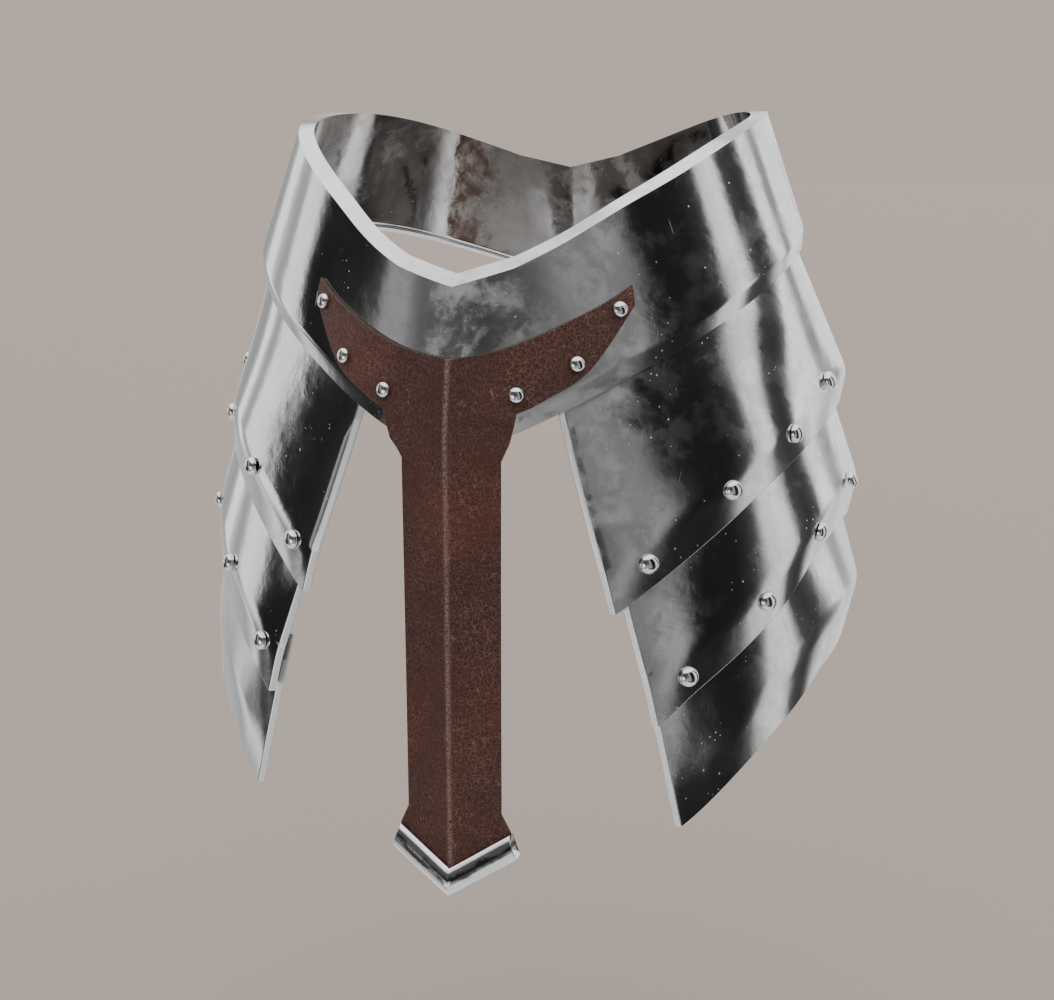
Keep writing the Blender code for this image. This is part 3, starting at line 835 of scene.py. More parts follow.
def rivet_seats():
    """Name, base point, outward normal and radius of every rivet head."""
    kinds = [(YOKE_RIVETS, yoke_point, LEATHER + GAP)]
    kinds.append((UPPER_RIVETS, lambda angle, z: lame_at(LAMES[0], angle, z), GAP))
    kinds.append((MIDDLE_RIVETS, lambda angle, z: lame_at(LAMES[1], angle, z), GAP))
    seats = []
    for letter, side in (("l", 1), ("r", -1)):
        for rivets, point_at, lift in kinds:
            for number, rivet in enumerate(rivets, 1):
                angle, z = (rivet.angle_l, rivet.z_l) if side > 0 else (rivet.angle_r, rivet.z_r)
                base, normal = surface_frame(point_at, angle, z)
                base += normal * (lift * MM)
                mirrored = Vector((side, 1, 1))
                name = f"{rivet.name}_{letter}{number}"
                seats.append((name, base * mirrored, normal * mirrored, rivet.radius))
    return seats


seats = rivet_seats()
print("rivet seats:", len(seats))

# %% Build the tree for the rivet heads
MID_RING = 0.15                # height of the drum's middle ring, of the rim's height
BETWEEN_RINGS = 0.25           # the drum's rings are half a unit apart, and this is between two
SMALLEST = 0.0001              # keeps the middle of the dome from being divided by nothing


def link(tree, source, output, target, socket):
    tree.links.new(source.outputs[output], target.inputs[socket])


def named_attribute(tree, name, kind):
    node = tree.nodes.new("GeometryNodeInputNamedAttribute")
    node.data_type = kind
    node.inputs["Name"].default_value = name
    return node.outputs["Attribute"]


def head_tree():
    """Tree that puts a domed head on every point of a mesh."""
    tree = bpy.data.node_groups.new("rivet_heads", "GeometryNodeTree")
    sockets = tree.interface
    sockets.new_socket("Geometry", in_out="OUTPUT", socket_type="NodeSocketGeometry")
    sockets.new_socket("Geometry", in_out="INPUT", socket_type="NodeSocketGeometry")
    for name, kind in (("Rim", "Float"), ("Dome", "Float"), ("Sides", "Int"), ("Rings", "Int"),
                       ("Material", "Material")):
        sockets.new_socket(name, in_out="INPUT", socket_type="NodeSocket" + kind)
    sizes = tree.nodes.new("NodeGroupInput")
    drum = tree.nodes.new("GeometryNodeMeshCylinder")
    drum.fill_type = "TRIANGLE_FAN"
    drum.inputs["Side Segments"].default_value = 2
    drum.inputs["Radius"].default_value = 1.0
    drum.inputs["Depth"].default_value = 1.0
    link(tree, sizes, "Sides", drum, "Vertices")
    link(tree, sizes, "Rings", drum, "Fill Segments")

    place = tree.nodes.new("GeometryNodeInputPosition")
    split = tree.nodes.new("ShaderNodeSeparateXYZ")
    link(tree, place, "Position", split, "Vector")
    x, y, z = split.outputs
    squares = maths(tree, "ADD", maths(tree, "MULTIPLY", x, x), maths(tree, "MULTIPLY", y, y))
    radius = maths(tree, "SQRT", squares)
    on_top = maths(tree, "GREATER_THAN", z, BETWEEN_RINGS)
    bend = maths(tree, "MULTIPLY", radius, math.pi / 2)
    safe = maths(tree, "MAXIMUM", radius, SMALLEST)
    spread = maths(tree, "DIVIDE", maths(tree, "SINE", bend), safe)
    wider = maths(tree, "MULTIPLY", on_top, maths(tree, "SUBTRACT", spread, 1.0))
    gain = maths(tree, "ADD", 1.0, wider)
    dome = maths(tree, "MULTIPLY", maths(tree, "COSINE", bend), sizes.outputs["Dome"])
    crown = maths(tree, "MULTIPLY", on_top, dome)
    low = maths(tree, "MULTIPLY", maths(tree, "GREATER_THAN", z, -BETWEEN_RINGS), MID_RING)
    share = maths(tree, "MAXIMUM", low, on_top)
    height = maths(tree, "ADD", crown, maths(tree, "MULTIPLY", share, sizes.outputs["Rim"]))
    join = tree.nodes.new("ShaderNodeCombineXYZ")
    tree.links.new(maths(tree, "MULTIPLY", x, gain), join.inputs["X"])
    tree.links.new(maths(tree, "MULTIPLY", y, gain), join.inputs["Y"])
    tree.links.new(height, join.inputs["Z"])
    shape = tree.nodes.new("GeometryNodeSetPosition")
    link(tree, drum, "Mesh", shape, "Geometry")
    link(tree, join, "Vector", shape, "Position")

    turn = tree.nodes.new("FunctionNodeAlignRotationToVector")
    turn.axis = "Z"
    tree.links.new(named_attribute(tree, "seat_normal", "FLOAT_VECTOR"), turn.inputs["Vector"])
    seat = tree.nodes.new("GeometryNodeInstanceOnPoints")
    link(tree, sizes, "Geometry", seat, "Points")
    link(tree, shape, "Geometry", seat, "Instance")
    link(tree, turn, "Rotation", seat, "Rotation")
    tree.links.new(named_attribute(tree, "seat_radius", "FLOAT"), seat.inputs["Scale"])
    solid = tree.nodes.new("GeometryNodeRealizeInstances")
    link(tree, seat, "Instances", solid, "Geometry")
    finish = tree.nodes.new("GeometryNodeSetMaterial")
    link(tree, solid, "Geometry", finish, "Geometry")
    link(tree, sizes, "Material", finish, "Material")
    result = tree.nodes.new("NodeGroupOutput")
    link(tree, finish, "Geometry", result, "Geometry")
    return tree


heads = head_tree()
print("tree:", heads.name, "with", len(heads.nodes), "nodes")

# %% Put a head on each seat
RIVET_RIM = 0.16               # height of a head's upright rim, of its radius
RIVET_DOME = 0.62              # height of its dome, of its radius
RIVET_SIDES = 40
RIVET_RINGS = 10


def set_input(modifier, name, value):
    """Sets a tree's input by its socket's identifier."""
    for socket in modifier.node_group.interface.items_tree:
        if socket.in_out == "INPUT" and socket.name == name:
            modifier[socket.identifier] = value


def make_rivets(material):
    mesh = bpy.data.meshes.new("rivets")
    mesh.from_pydata([base for _, base, _, _ in seats], [], [])
    directions = mesh.attributes.new("seat_normal", "FLOAT_VECTOR", "POINT")
    directions.data.foreach_set("vector", [c for _, _, normal, _ in seats for c in normal])
    radii = mesh.attributes.new("seat_radius", "FLOAT", "POINT")
    radii.data.foreach_set("value", [radius * MM for _, _, _, radius in seats])
    rivets = bpy.data.objects.new("rivets", mesh)
    bpy.context.scene.collection.objects.link(rivets)
    modifier = rivets.modifiers.new("heads", "NODES")
    modifier.node_group = heads
    set_input(modifier, "Rim", RIVET_RIM)
    set_input(modifier, "Dome", RIVET_DOME)
    set_input(modifier, "Sides", RIVET_SIDES)
    set_input(modifier, "Rings", RIVET_RINGS)
    set_input(modifier, "Material", material)
    bake(rivets)
    rivets.data.shade_smooth()
    mark_all(rivets, "polished")
    return rivets

# %% [markdown]
# ## The steel
# Armour plate is polished, then worn: it is a mirror with clouds of fine rubbing where hands and
# straps go, smears of old grease, tiny bright pits and a hair scratch here and there. So one
# material sets the roughness from several layers of noise, and a little relief bends the
# reflections the way uneven hammering does. The side that nobody polishes is dull and brown-grey,
# and its colour is darkened further as painted shade. Painting streaks on the plates would look
# wrong as soon as the view turned, whereas reflections follow the plate by themselves. Some light
# and shade is painted all the same: a dark reflection along the chape's middle, a partly painted
# highlight on the filed edges, and shade where hands reach.

# %% Patterns on the steel
# The noises: largest lumps for each metre, layers of detail, their strength, and swirl.
Pattern = namedtuple("Pattern", "scale detail roughness distortion", defaults=(0.5, 0.0))
CLOUDS = Pattern(14.0, 5.0, 0.55, 0.6)
FRAY = Pattern(80.0, 9.0, 0.74, 0.5)
SMEARS = Pattern(34.0, 8.0, 0.70, 0.3)
RAGS = Pattern(42.0, 4.0, 0.60, 0.5)
SWARMS = Pattern(26.0, 2.0)
SCRATCHED = Pattern(21.0, 3.0)
UNEVEN = Pattern(17.0, 3.0)
WIDE_WAVES = Pattern(14.0, 1.0)
SHORT_WAVES = Pattern(40.0, 2.0)
TARNISH = Pattern(10.0, 5.0, 0.55)
CHAPE_LINE = Pattern(75.0, 5.0, 0.62)


def attribute(tree, name):
    made = tree.nodes.new("ShaderNodeAttribute")
    made.attribute_name = name
    return made.outputs["Fac"]


def without(tree, mark):
    """One where a mark is nothing, and nothing where it is one."""
    return maths(tree, "SUBTRACT", 1.0, mark)


def shifted(tree, place, amount, scale):
    """Places pushed about by noise, so that a regular pattern turns ragged."""
    push = noise(tree, place, scale, 3.0).node.outputs["Color"]
    push = node(tree, "VectorMath", push, (0.5, 0.5, 0.5), operation="SUBTRACT")
    push = node(tree, "VectorMath", push, (amount,) * 3, operation="MULTIPLY")
    return node(tree, "VectorMath", place, push, operation="ADD")


def dots(tree, place, scale, largest):
    """Scattered dots, one for each cell of the given scale, most of them much smaller than largest."""
    cell = tree.nodes.new("ShaderNodeTexVoronoi")
    tree.links.new(place, cell.inputs["Vector"])
    cell.inputs["Scale"].default_value = scale
    pick = node(tree, "SeparateColor", cell.outputs["Color"])
    size = maths(tree, "MULTIPLY", maths(tree, "POWER", pick, 5.0), largest)
    return maths(tree, "LESS_THAN", cell.outputs["Distance"], size)


def hairlines(tree, place, stretch, turn, width):
    """Thin wandering lines along the level lines of stretched noise."""
    made = tree.nodes.new("ShaderNodeMapping")
    tree.links.new(place, made.inputs["Vector"])
    made.inputs["Rotation"].default_value = turn
    made.inputs["Scale"].default_value = stretch
    level = maths(tree, "SUBTRACT", noise(tree, made.outputs[0], 9.0, 1.5), 0.5)
    return ramp(tree, maths(tree, "ABSOLUTE", level), width, 0.0)

# %% Where a spot of steel is
# The marks say whether a spot faces the wearer, is a filed edge, is on the band or stays polished.
Spot = namedtuple("Spot", "place x y z inside filed band polished")


def read_spot(tree):
    """A spot's place, its three coordinates and its marks, for the finish to read."""
    place = tree.nodes.new("ShaderNodeTexCoord").outputs["Object"]
    coordinates = node(tree, "SeparateXYZ", place).node.outputs
    marks = [attribute(tree, name) for name in ("inside", "filed", "band", "polished")]
    return Spot(place, *coordinates, *marks)

# %% Wear on the steel
# Where hands reach: start, end and the wear there, which also darkens the colour as painted shade.
# The first is read at the distance to a side over the distance to the front, the second at metres
# from the wearer's right to their left.
FRONT_WEAR_AND_SHADE = (1.15, 0.75, 0.10, 1.0)
LEFT_WEAR_AND_SHADE = (-0.06, 0.0, 0.10, 1.0)
WORN_BASE = 0.22               # how worn the outside is between its clouds
# The next value also sets how much the inside's colour is darkened as painted shade.
INSIDE_WEAR_AND_SHADE = 0.7              # how much the inside is handled
PUSH = (0.006, 60.0)           # metres by which places are pushed about, and lumps for each metre
SPECKS = ((300.0, 0.20), (140.0, 0.07))   # cells for each metre, and the largest dot's share of one
SCRATCH_WIDTH = 0.0005
SCRATCH_SHARE = 0.6            # how strong a scratch is beside a speck


def worn_patches(tree, spot, clouds, fray):
    """How worn the steel is, in wide clouds whose borders are frayed by finer noise, and how much
    hands reach it, which also darkens the colour there as painted shade. More of both shows in front
    and on the left than on the sides and the right."""
    across = maths(tree, "ABSOLUTE", maths(tree, "DIVIDE", spot.x, spot.y))
    ragged = maths(tree, "MULTIPLY_ADD", maths(tree, "SUBTRACT", fray, 0.5), 0.40, clouds)
    worn = ramp(tree, ragged, 0.39, 0.66)
    handled_and_shade = maths(tree, "MULTIPLY", ramp(tree, across, *FRONT_WEAR_AND_SHADE), ramp(tree, spot.x, *LEFT_WEAR_AND_SHADE))
    handled_and_shade = maths(tree, "MAXIMUM", handled_and_shade, maths(tree, "MULTIPLY", spot.inside, INSIDE_WEAR_AND_SHADE))
    handled_and_shade = maths(tree, "MULTIPLY", handled_and_shade, without(tree, spot.polished))
    worn = maths(tree, "MULTIPLY_ADD", without(tree, spot.inside), WORN_BASE, worn)
    return maths(tree, "MULTIPLY", worn, handled_and_shade), handled_and_shade


def small_marks(tree, spot):
    """Bright specks in swarms, and a few hair scratches."""
    speck = maths(tree, "MAXIMUM", *[dots(tree, spot.place, *size) for size in SPECKS])
    speck = maths(tree, "MULTIPLY", speck, ramp(tree, noise(tree, spot.place, *SWARMS), 0.46, 0.56))
    scratch = hairlines(tree, spot.place, (1.0, 1.0, 0.3), (0.6, 0.3, 0.2), SCRATCH_WIDTH)
    few = ramp(tree, noise(tree, spot.place, *SCRATCHED), 0.58, 0.64)
    scratch = maths(tree, "MULTIPLY", scratch, few)
    return maths(tree, "MAXIMUM", speck, maths(tree, "MULTIPLY", scratch, SCRATCH_SHARE))


def smears(tree, spot, pushed):
    """Thin grease and old polish, which blur a reflection's border here and leave it there."""
    smear = ramp(tree, noise(tree, pushed, *SMEARS), 0.45, 0.58)
    smear = maths(tree, "MULTIPLY", smear, without(tree, spot.polished))
    return maths(tree, "MULTIPLY", smear, ramp(tree, spot.x, -0.10, 0.0, 0.35, 1.0))

# %% Gloss of the steel
MIRROR_GLOSS = 0.032           # roughness of the polished steel
WORN_GLOSS = 0.44              # roughness of the worn patches
MARK_GLOSS = 0.55              # roughness of specks
FILED_GLOSS = 0.42             # roughness of the filed edges
SMEAR_GLOSS = 0.095            # how much rougher a smear is
BACK_GLOSS = 0.25              # how much rougher the lames' backs are


def steel_gloss(tree, spot, worn, smear, mark, rough_back):
    gloss = maths(tree, "MULTIPLY_ADD", worn, WORN_GLOSS - MIRROR_GLOSS, MIRROR_GLOSS)
    gloss = maths(tree, "MULTIPLY_ADD", smear, SMEAR_GLOSS, gloss)
    gloss = maths(tree, "MAXIMUM", gloss, maths(tree, "MULTIPLY", mark, MARK_GLOSS))
    gloss = maths(tree, "MAXIMUM", gloss, maths(tree, "MULTIPLY", spot.filed, FILED_GLOSS))
    return maths(tree, "MULTIPLY_ADD", rough_back, BACK_GLOSS, gloss)

# %% [markdown]
# ## Relief
# A Bump node bends the reflections without moving the mesh. That suits waves of hammering, which
# are a fraction of a millimetre. The band's sides use it for more than that: there it tilts the
# surface by about 5 degrees, as if the sides stood 14 to 18 millimetres further out, so that the
# band's streaks don't stand straight above the lames'. The mesh has no such shape. It is only a
# way to place reflections, and an exported mesh is without it.

# %% Relief of the steel
BUMP_UNIT = 0.0001             # the relief is in tenths of a millimetre
WIDE_WAVE, SHORT_WAVE = 2.6, 1.0
FRAY_DEPTH, MARK_DEPTH = 0.25, -0.35
# How far the band's sides are lit as standing out, and how much further the right side's rear is
# lit as standing out and the left side's as standing in, in those units.
HOLLOW_LEFT, HOLLOW_RIGHT = 140.0, 185.0
TWIST_LEFT, TWIST_RIGHT = 105.0, 150.0
HOLLOW_FROM, HOLLOW_TO = 12.0, 74.0        # plan angles over which it rises
TWIST_FROM, TWIST_TO = 66.0, 118.0


def band_tilt(tree, spot):
    """Height that turns the reflections of the band's sides."""
    turned = maths(tree, "ARCTAN2", spot.x, maths(tree, "MULTIPLY", spot.y, -1.0))
    turned = maths(tree, "MULTIPLY", turned, 180 / math.pi)
    hollow = maths(tree, "ADD", ramp(tree, turned, HOLLOW_FROM, HOLLOW_TO, 0.0, HOLLOW_LEFT),
                   ramp(tree, turned, -HOLLOW_FROM, -HOLLOW_TO, 0.0, HOLLOW_RIGHT))
    twist = maths(tree, "ADD", ramp(tree, turned, TWIST_FROM, TWIST_TO, 0.0, -TWIST_LEFT),
                  ramp(tree, turned, -TWIST_FROM, -TWIST_TO, 0.0, TWIST_RIGHT))
    return maths(tree, "ADD", hollow, twist)


def steel_relief(tree, spot, pushed, fray, mark):
    """Hammered waves, a frayed skin that comes and goes, dents, and the tilt of the band's sides."""
    uneven = ramp(tree, noise(tree, spot.place, *UNEVEN), 0.40, 0.62, 0.15, 1.0)
    rags = noise(tree, pushed, *RAGS)
    relief = maths(tree, "MULTIPLY", rags, maths(tree, "MULTIPLY_ADD", uneven, 1.2, 0.3))
    relief = maths(tree, "MULTIPLY_ADD", fray, FRAY_DEPTH, relief)
    relief = maths(tree, "MULTIPLY_ADD", mark, MARK_DEPTH, relief)
    relief = maths(tree, "MULTIPLY_ADD", noise(tree, spot.place, *WIDE_WAVES), WIDE_WAVE, relief)
    relief = maths(tree, "MULTIPLY_ADD", noise(tree, spot.place, *SHORT_WAVES), SHORT_WAVE, relief)
    return maths(tree, "MULTIPLY_ADD", band_tilt(tree, spot), spot.band, relief)


def add_relief(tree, shader, relief, strength, unit):
    bump = tree.nodes.new("ShaderNodeBump")
    bump.inputs["Strength"].default_value = strength
    bump.inputs["Distance"].default_value = unit
    tree.links.new(relief, bump.inputs["Height"])
    tree.links.new(bump.outputs[0], shader.inputs["Normal"])

# %% Colour of the steel
STEEL_DARK, STEEL_PALE = (0.74, 0.74, 0.74, 1), (0.82, 0.82, 0.815, 1)
# Darker colour where hands reach: partly wear, partly painted shade.
SMEARED, HANDLED_AND_SHADE = (0.62, 0.62, 0.62, 1), (0.46, 0.46, 0.46, 1)
# Pale for specks, and for the filed edges, where the pale colour is partly a painted highlight.
BARE_AND_HIGHLIGHT = (0.97, 0.97, 0.96, 1)   # filed edges and specks
# Colours of the inside: tarnish, made darker as painted shade.
STAIN_AND_SHADE_PALE, STAIN_AND_SHADE_DARK = (0.70, 0.69, 0.68, 1), (0.42, 0.40, 0.39, 1)
BACK_COLOUR = (0.16, 0.15, 0.145, 1)
# The chape's painted reflection: the colour of its dark middle line and how that line runs.
PAINTED_REFLECTION_COLOUR = (0.07, 0.07, 0.07, 1)
LINE_SLOPE = -0.587            # how fast the chape's middle line rises to the sides
LINE_DROP = 0.4208             # how far below the waist's level it starts, in metres
LINE_WANDER = 0.015


def painted_chape_reflection(tree, spot):
    """A dark reflection painted as a near-black line along the middle of the chape."""
    off_ridge = maths(tree, "ABSOLUTE", spot.x)
    across = maths(tree, "MULTIPLY_ADD", off_ridge, LINE_SLOPE, spot.z)
    wander = maths(tree, "SUBTRACT", noise(tree, spot.place, *CHAPE_LINE), 0.5)
    wander = maths(tree, "MULTIPLY", wander, LINE_WANDER)
    off_middle = maths(tree, "ADD", maths(tree, "ADD", across, LINE_DROP), wander)
    line = ramp(tree, maths(tree, "ABSOLUTE", off_middle), 0.0036, 0.0006)
    return maths(tree, "MULTIPLY", line, spot.polished)


def steel_colour(tree, spot, clouds, smear, handled_and_shade, mark, rough_back):
    colour = blend(tree, ramp(tree, clouds, 0.35, 0.65), STEEL_DARK, STEEL_PALE)
    colour = blend(tree, maths(tree, "MULTIPLY", smear, 0.5), colour, SMEARED)
    # Where hands reach, the colour darkens: partly wear, partly painted shade.
    colour = blend(tree, maths(tree, "MULTIPLY", handled_and_shade, 0.45), colour, HANDLED_AND_SHADE)
    colour = blend(tree, mark, colour, BARE_AND_HIGHLIGHT)
    # Filed edges are satin; their pale colour is partly a painted highlight.
    colour = blend(tree, spot.filed, colour, BARE_AND_HIGHLIGHT)
    tarnish = ramp(tree, noise(tree, spot.place, *TARNISH), 0.38, 0.64)
    # The inside's darker colour is partly tarnish and partly painted shade.
    colour = blend(tree, spot.inside, colour, blend(tree, tarnish, STAIN_AND_SHADE_PALE, STAIN_AND_SHADE_DARK))
    # The backs of the lames and the chape are painted near black: partly a dull back, partly painted
    # shade.
    colour = blend(tree, rough_back, colour, BACK_COLOUR)
    # The chape's dark middle line is a painted reflection.
    return blend(tree, maths(tree, "MULTIPLY", painted_chape_reflection(tree, spot), 0.85), colour, PAINTED_REFLECTION_COLOUR)

# %% The steel's material


def steel_material(name):
    material, tree, shader = new_material(name)
    spot = read_spot(tree)
    clouds = noise(tree, spot.place, *CLOUDS)
    pushed = shifted(tree, spot.place, *PUSH)
    fray = noise(tree, pushed, *FRAY)
    worn, handled_and_shade = worn_patches(tree, spot, clouds, fray)
    mark = small_marks(tree, spot)
    smear = smears(tree, spot, pushed)
    rough_back = maths(tree, "MULTIPLY", spot.inside, without(tree, spot.band))
    gloss = steel_gloss(tree, spot, worn, smear, mark, rough_back)
    tree.links.new(gloss, shader.inputs["Roughness"])
    add_relief(tree, shader, steel_relief(tree, spot, pushed, fray, mark), 1.0, BUMP_UNIT)
    colour = steel_colour(tree, spot, clouds, smear, handled_and_shade, mark, rough_back)
    tree.links.new(colour, shader.inputs["Base Color"])
    shader.inputs["Metallic"].default_value = 1.0
    return material


steel = steel_material("steel")
print("steel:", len(steel.node_tree.nodes), "nodes")

# %% [markdown]
# ## The leather's finish
# Old vegetable-tanned leather dries into a net of fine cracks, which show paler and redder than the
# dyed skin. Voronoi cells give such a net: the distance to a cell's edge is small only along the
# cracks. Pushing the places about with noise first makes the cells ragged. The ridge of the strap
# is rubbed pale, the cut edge is painted near black as painted shade, and the flesh side is plain
# brown suede. The wearer's right half has weaker cracks, which paints it darker as shade.

# %% Patterns on the leather
TINT = Pattern(11.0, 4.0, 0.6, 0.5)
DRYNESS = Pattern(24.0, 5.0, 0.6)
GRIT = Pattern(700.0, 3.0, 0.7)
FIBRES = Pattern(90.0, 7.0, 0.72)
GRAIN = Pattern(900.0, 4.0, 0.6)
WIDE_CRACKS, NARROW_CRACKS = (290.0, 0.042), (620.0, 0.055)   # cells for each metre, line's width


def cracks(tree, place, scale, width):
    """Network of lines between ragged cells."""
    cell = tree.nodes.new("ShaderNodeTexVoronoi")
    cell.feature = "DISTANCE_TO_EDGE"
    tree.links.new(place, cell.inputs["Vector"])
    cell.inputs["Scale"].default_value = scale
    return ramp(tree, cell.outputs["Distance"], width, 0.0)


def leather_creases(tree, place, x):
    """Net of wide and narrow cracks, weaker on the wearer's right half as painted shade."""
    stretched = node(tree, "VectorMath", place, (1.0, 1.0, 0.75), operation="MULTIPLY")
    ragged = shifted(tree, shifted(tree, stretched, 0.007, 90.0), 0.0022, 420.0)
    wide = cracks(tree, ragged, *WIDE_CRACKS)
    narrow = cracks(tree, shifted(tree, ragged, 0.002, 200.0), *NARROW_CRACKS)
    fresh = ramp(tree, noise(tree, place, *DRYNESS), 0.36, 0.60)
    # Painted shade: weaker pale cracks leave the wearer's right half darker.
    strength = maths(tree, "MULTIPLY_ADD", ramp(tree, x, 0.004, -0.004), -0.35, 1.0)
    crease = maths(tree, "MULTIPLY", wide, maths(tree, "MULTIPLY_ADD", fresh, 0.60, 0.40))
    fine = maths(tree, "MULTIPLY", narrow, maths(tree, "MULTIPLY_ADD", fresh, 0.45, 0.35))
    return maths(tree, "MULTIPLY", maths(tree, "MAXIMUM", crease, fine), strength)

# %% Colour of the leather
HIDE_DARK, HIDE_PALE = (0.058, 0.020, 0.015, 1), (0.108, 0.030, 0.020, 1)
CRACKED, RUBBED = (0.45, 0.235, 0.17, 1), (0.52, 0.36, 0.31, 1)
SUEDE_DARK, SUEDE_PALE = (0.105, 0.052, 0.033, 1), (0.225, 0.130, 0.085, 1)
# Near black on the leather's cut edges is painted shade, so those edges catch no light.
SHADED_EDGE = (0.022, 0.011, 0.009, 1)


def rubbed_ridge(tree, place, x):
    """The strap's ridge, rubbed pale in grains along its middle line."""
    grit = noise(tree, place, *GRIT)
    ridge = maths(tree, "ABSOLUTE", x)
    ridge = maths(tree, "MULTIPLY_ADD", maths(tree, "SUBTRACT", grit, 0.5), 0.006, ridge)
    return maths(tree, "MULTIPLY", ramp(tree, ridge, 0.0031, 0.0006), ramp(tree, grit, 0.40, 0.58))


def leather_colour(tree, place, x, crease):
    tint = ramp(tree, noise(tree, place, *TINT), 0.35, 0.68)
    colour = blend(tree, crease, blend(tree, tint, HIDE_DARK, HIDE_PALE), CRACKED)
    colour = blend(tree, maths(tree, "MULTIPLY", rubbed_ridge(tree, place, x), 0.75), colour, RUBBED)
    fibres = node(tree, "VectorMath", place, (1.0, 1.0, 0.3), operation="MULTIPLY")
    fuzz = ramp(tree, noise(tree, fibres, *FIBRES), 0.38, 0.62)
    colour = blend(tree, attribute(tree, "inside"), colour, blend(tree, fuzz, SUEDE_DARK, SUEDE_PALE))
    # The cut edges are painted near black as shade.
    return blend(tree, attribute(tree, "cut"), colour, SHADED_EDGE)

# %% The leather's material
CREASE_UNIT = 0.0004           # the relief is in units of 0.4 millimetre


def leather_material():
    material, tree, shader = new_material("leather")
    place = tree.nodes.new("ShaderNodeTexCoord").outputs["Object"]
    x = node(tree, "SeparateXYZ", place)
    crease = leather_creases(tree, place, x)
    tree.links.new(leather_colour(tree, place, x, crease), shader.inputs["Base Color"])
    grain = noise(tree, place, *GRAIN)
    tree.links.new(maths(tree, "MULTIPLY_ADD", grain, 0.25, 0.42), shader.inputs["Roughness"])
    relief = maths(tree, "MULTIPLY_ADD", crease, -1.0, maths(tree, "MULTIPLY", grain, 0.5))
    add_relief(tree, shader, relief, 0.8, CREASE_UNIT)
    return material


hide = leather_material()
print("leather:", len(hide.node_tree.nodes), "nodes")

# %% Make the rivet heads
rivets = make_rivets(steel)
print("rivet heads:", len(rivets.data.polygons), "faces")

# %% [markdown]
# ## Dressing the solids
# Each finished piece stands where the plain solid of the same part stood. It rides on the body that
# carries the part, replaces the plain solid, and takes its one material. The leather is a sheet,
# and its flat size is printed when it is made.

# %% Ride, replace and finish the pieces
ALL_STEEL = [band, chape] + list(lames.values())
for piece in ALL_STEEL:
    piece.data.materials.clear()
    piece.data.materials.append(steel)
leather.data.materials.clear()
leather.data.materials.append(hide)

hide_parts("waist_band")
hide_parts("chape")
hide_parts("leather_tab")
for name, plate in lames.items():
    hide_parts(name)
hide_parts(*[name for name, _, _, _ in seats])
for piece in ALL_STEEL + [rivets]:
    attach(piece, "root")
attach(leather, "root")

# %% [markdown]
# ## Studio light
# Polished steel has hardly a colour of its own: it shows the room. A studio for it is therefore a
# ring of tall soft lights with black flags between them, and each light or flag becomes a bright
# or dark streak that follows the plate's curve. The ring is made here as the world's colour, read
# from a table by plan angle: it costs no geometry and lights the leather softly too. Its strips
# were placed to suit this armour, and any even ring would light it too. It leans a little on the
# wearer's left, so those streaks slant, and a large softbox closes it overhead.

# %% Studio light
FULL_LIGHT = 1.8               # brightness of the softbox overhead
LEAN = 0.35                    # how far the ring's left side leans, in degrees for each degree up
BACK_LEAN = 0.20               # how much more it leans behind the left side
RIGHT_LEAN = 0.80              # the same for the ring's right side, about a level of its own
RIGHT_LEVEL = 10.0
LEAN_LEVEL = 16.0              # height in degrees at which the table's angles hold
LEAN_LIMITS = (-20.0, 10.0)    # least and most that the ring leans on the left, in degrees
RIGHT_LIMITS = (-2.5, 6.0)     # the same on the right
BACK_FROM, BACK_TO = 85.0, 110.0   # plan angles between which the extra lean behind sets in
FRONT_EASE = 50.0              # plan angle by which the lean has fully set in
HORIZON = (-12.0, 0.0)         # heights between which the lower strips give way to the upper ones
SOFTBOX = (33.0, 48.0)         # heights between which the softbox overhead sets in
BACKDROP = (0.567, 0.487, 0.434, 1)

# A white card low in front lights the lames' cut edges. Each pair is where its edge fades.
CARD_LEFT = (-42.0, -34.0)
CARD_RIGHT = (0.0, -6.0)
CARD_LOW = (-30.0, -22.0)
CARD_TOP = (4.0, 0.0)

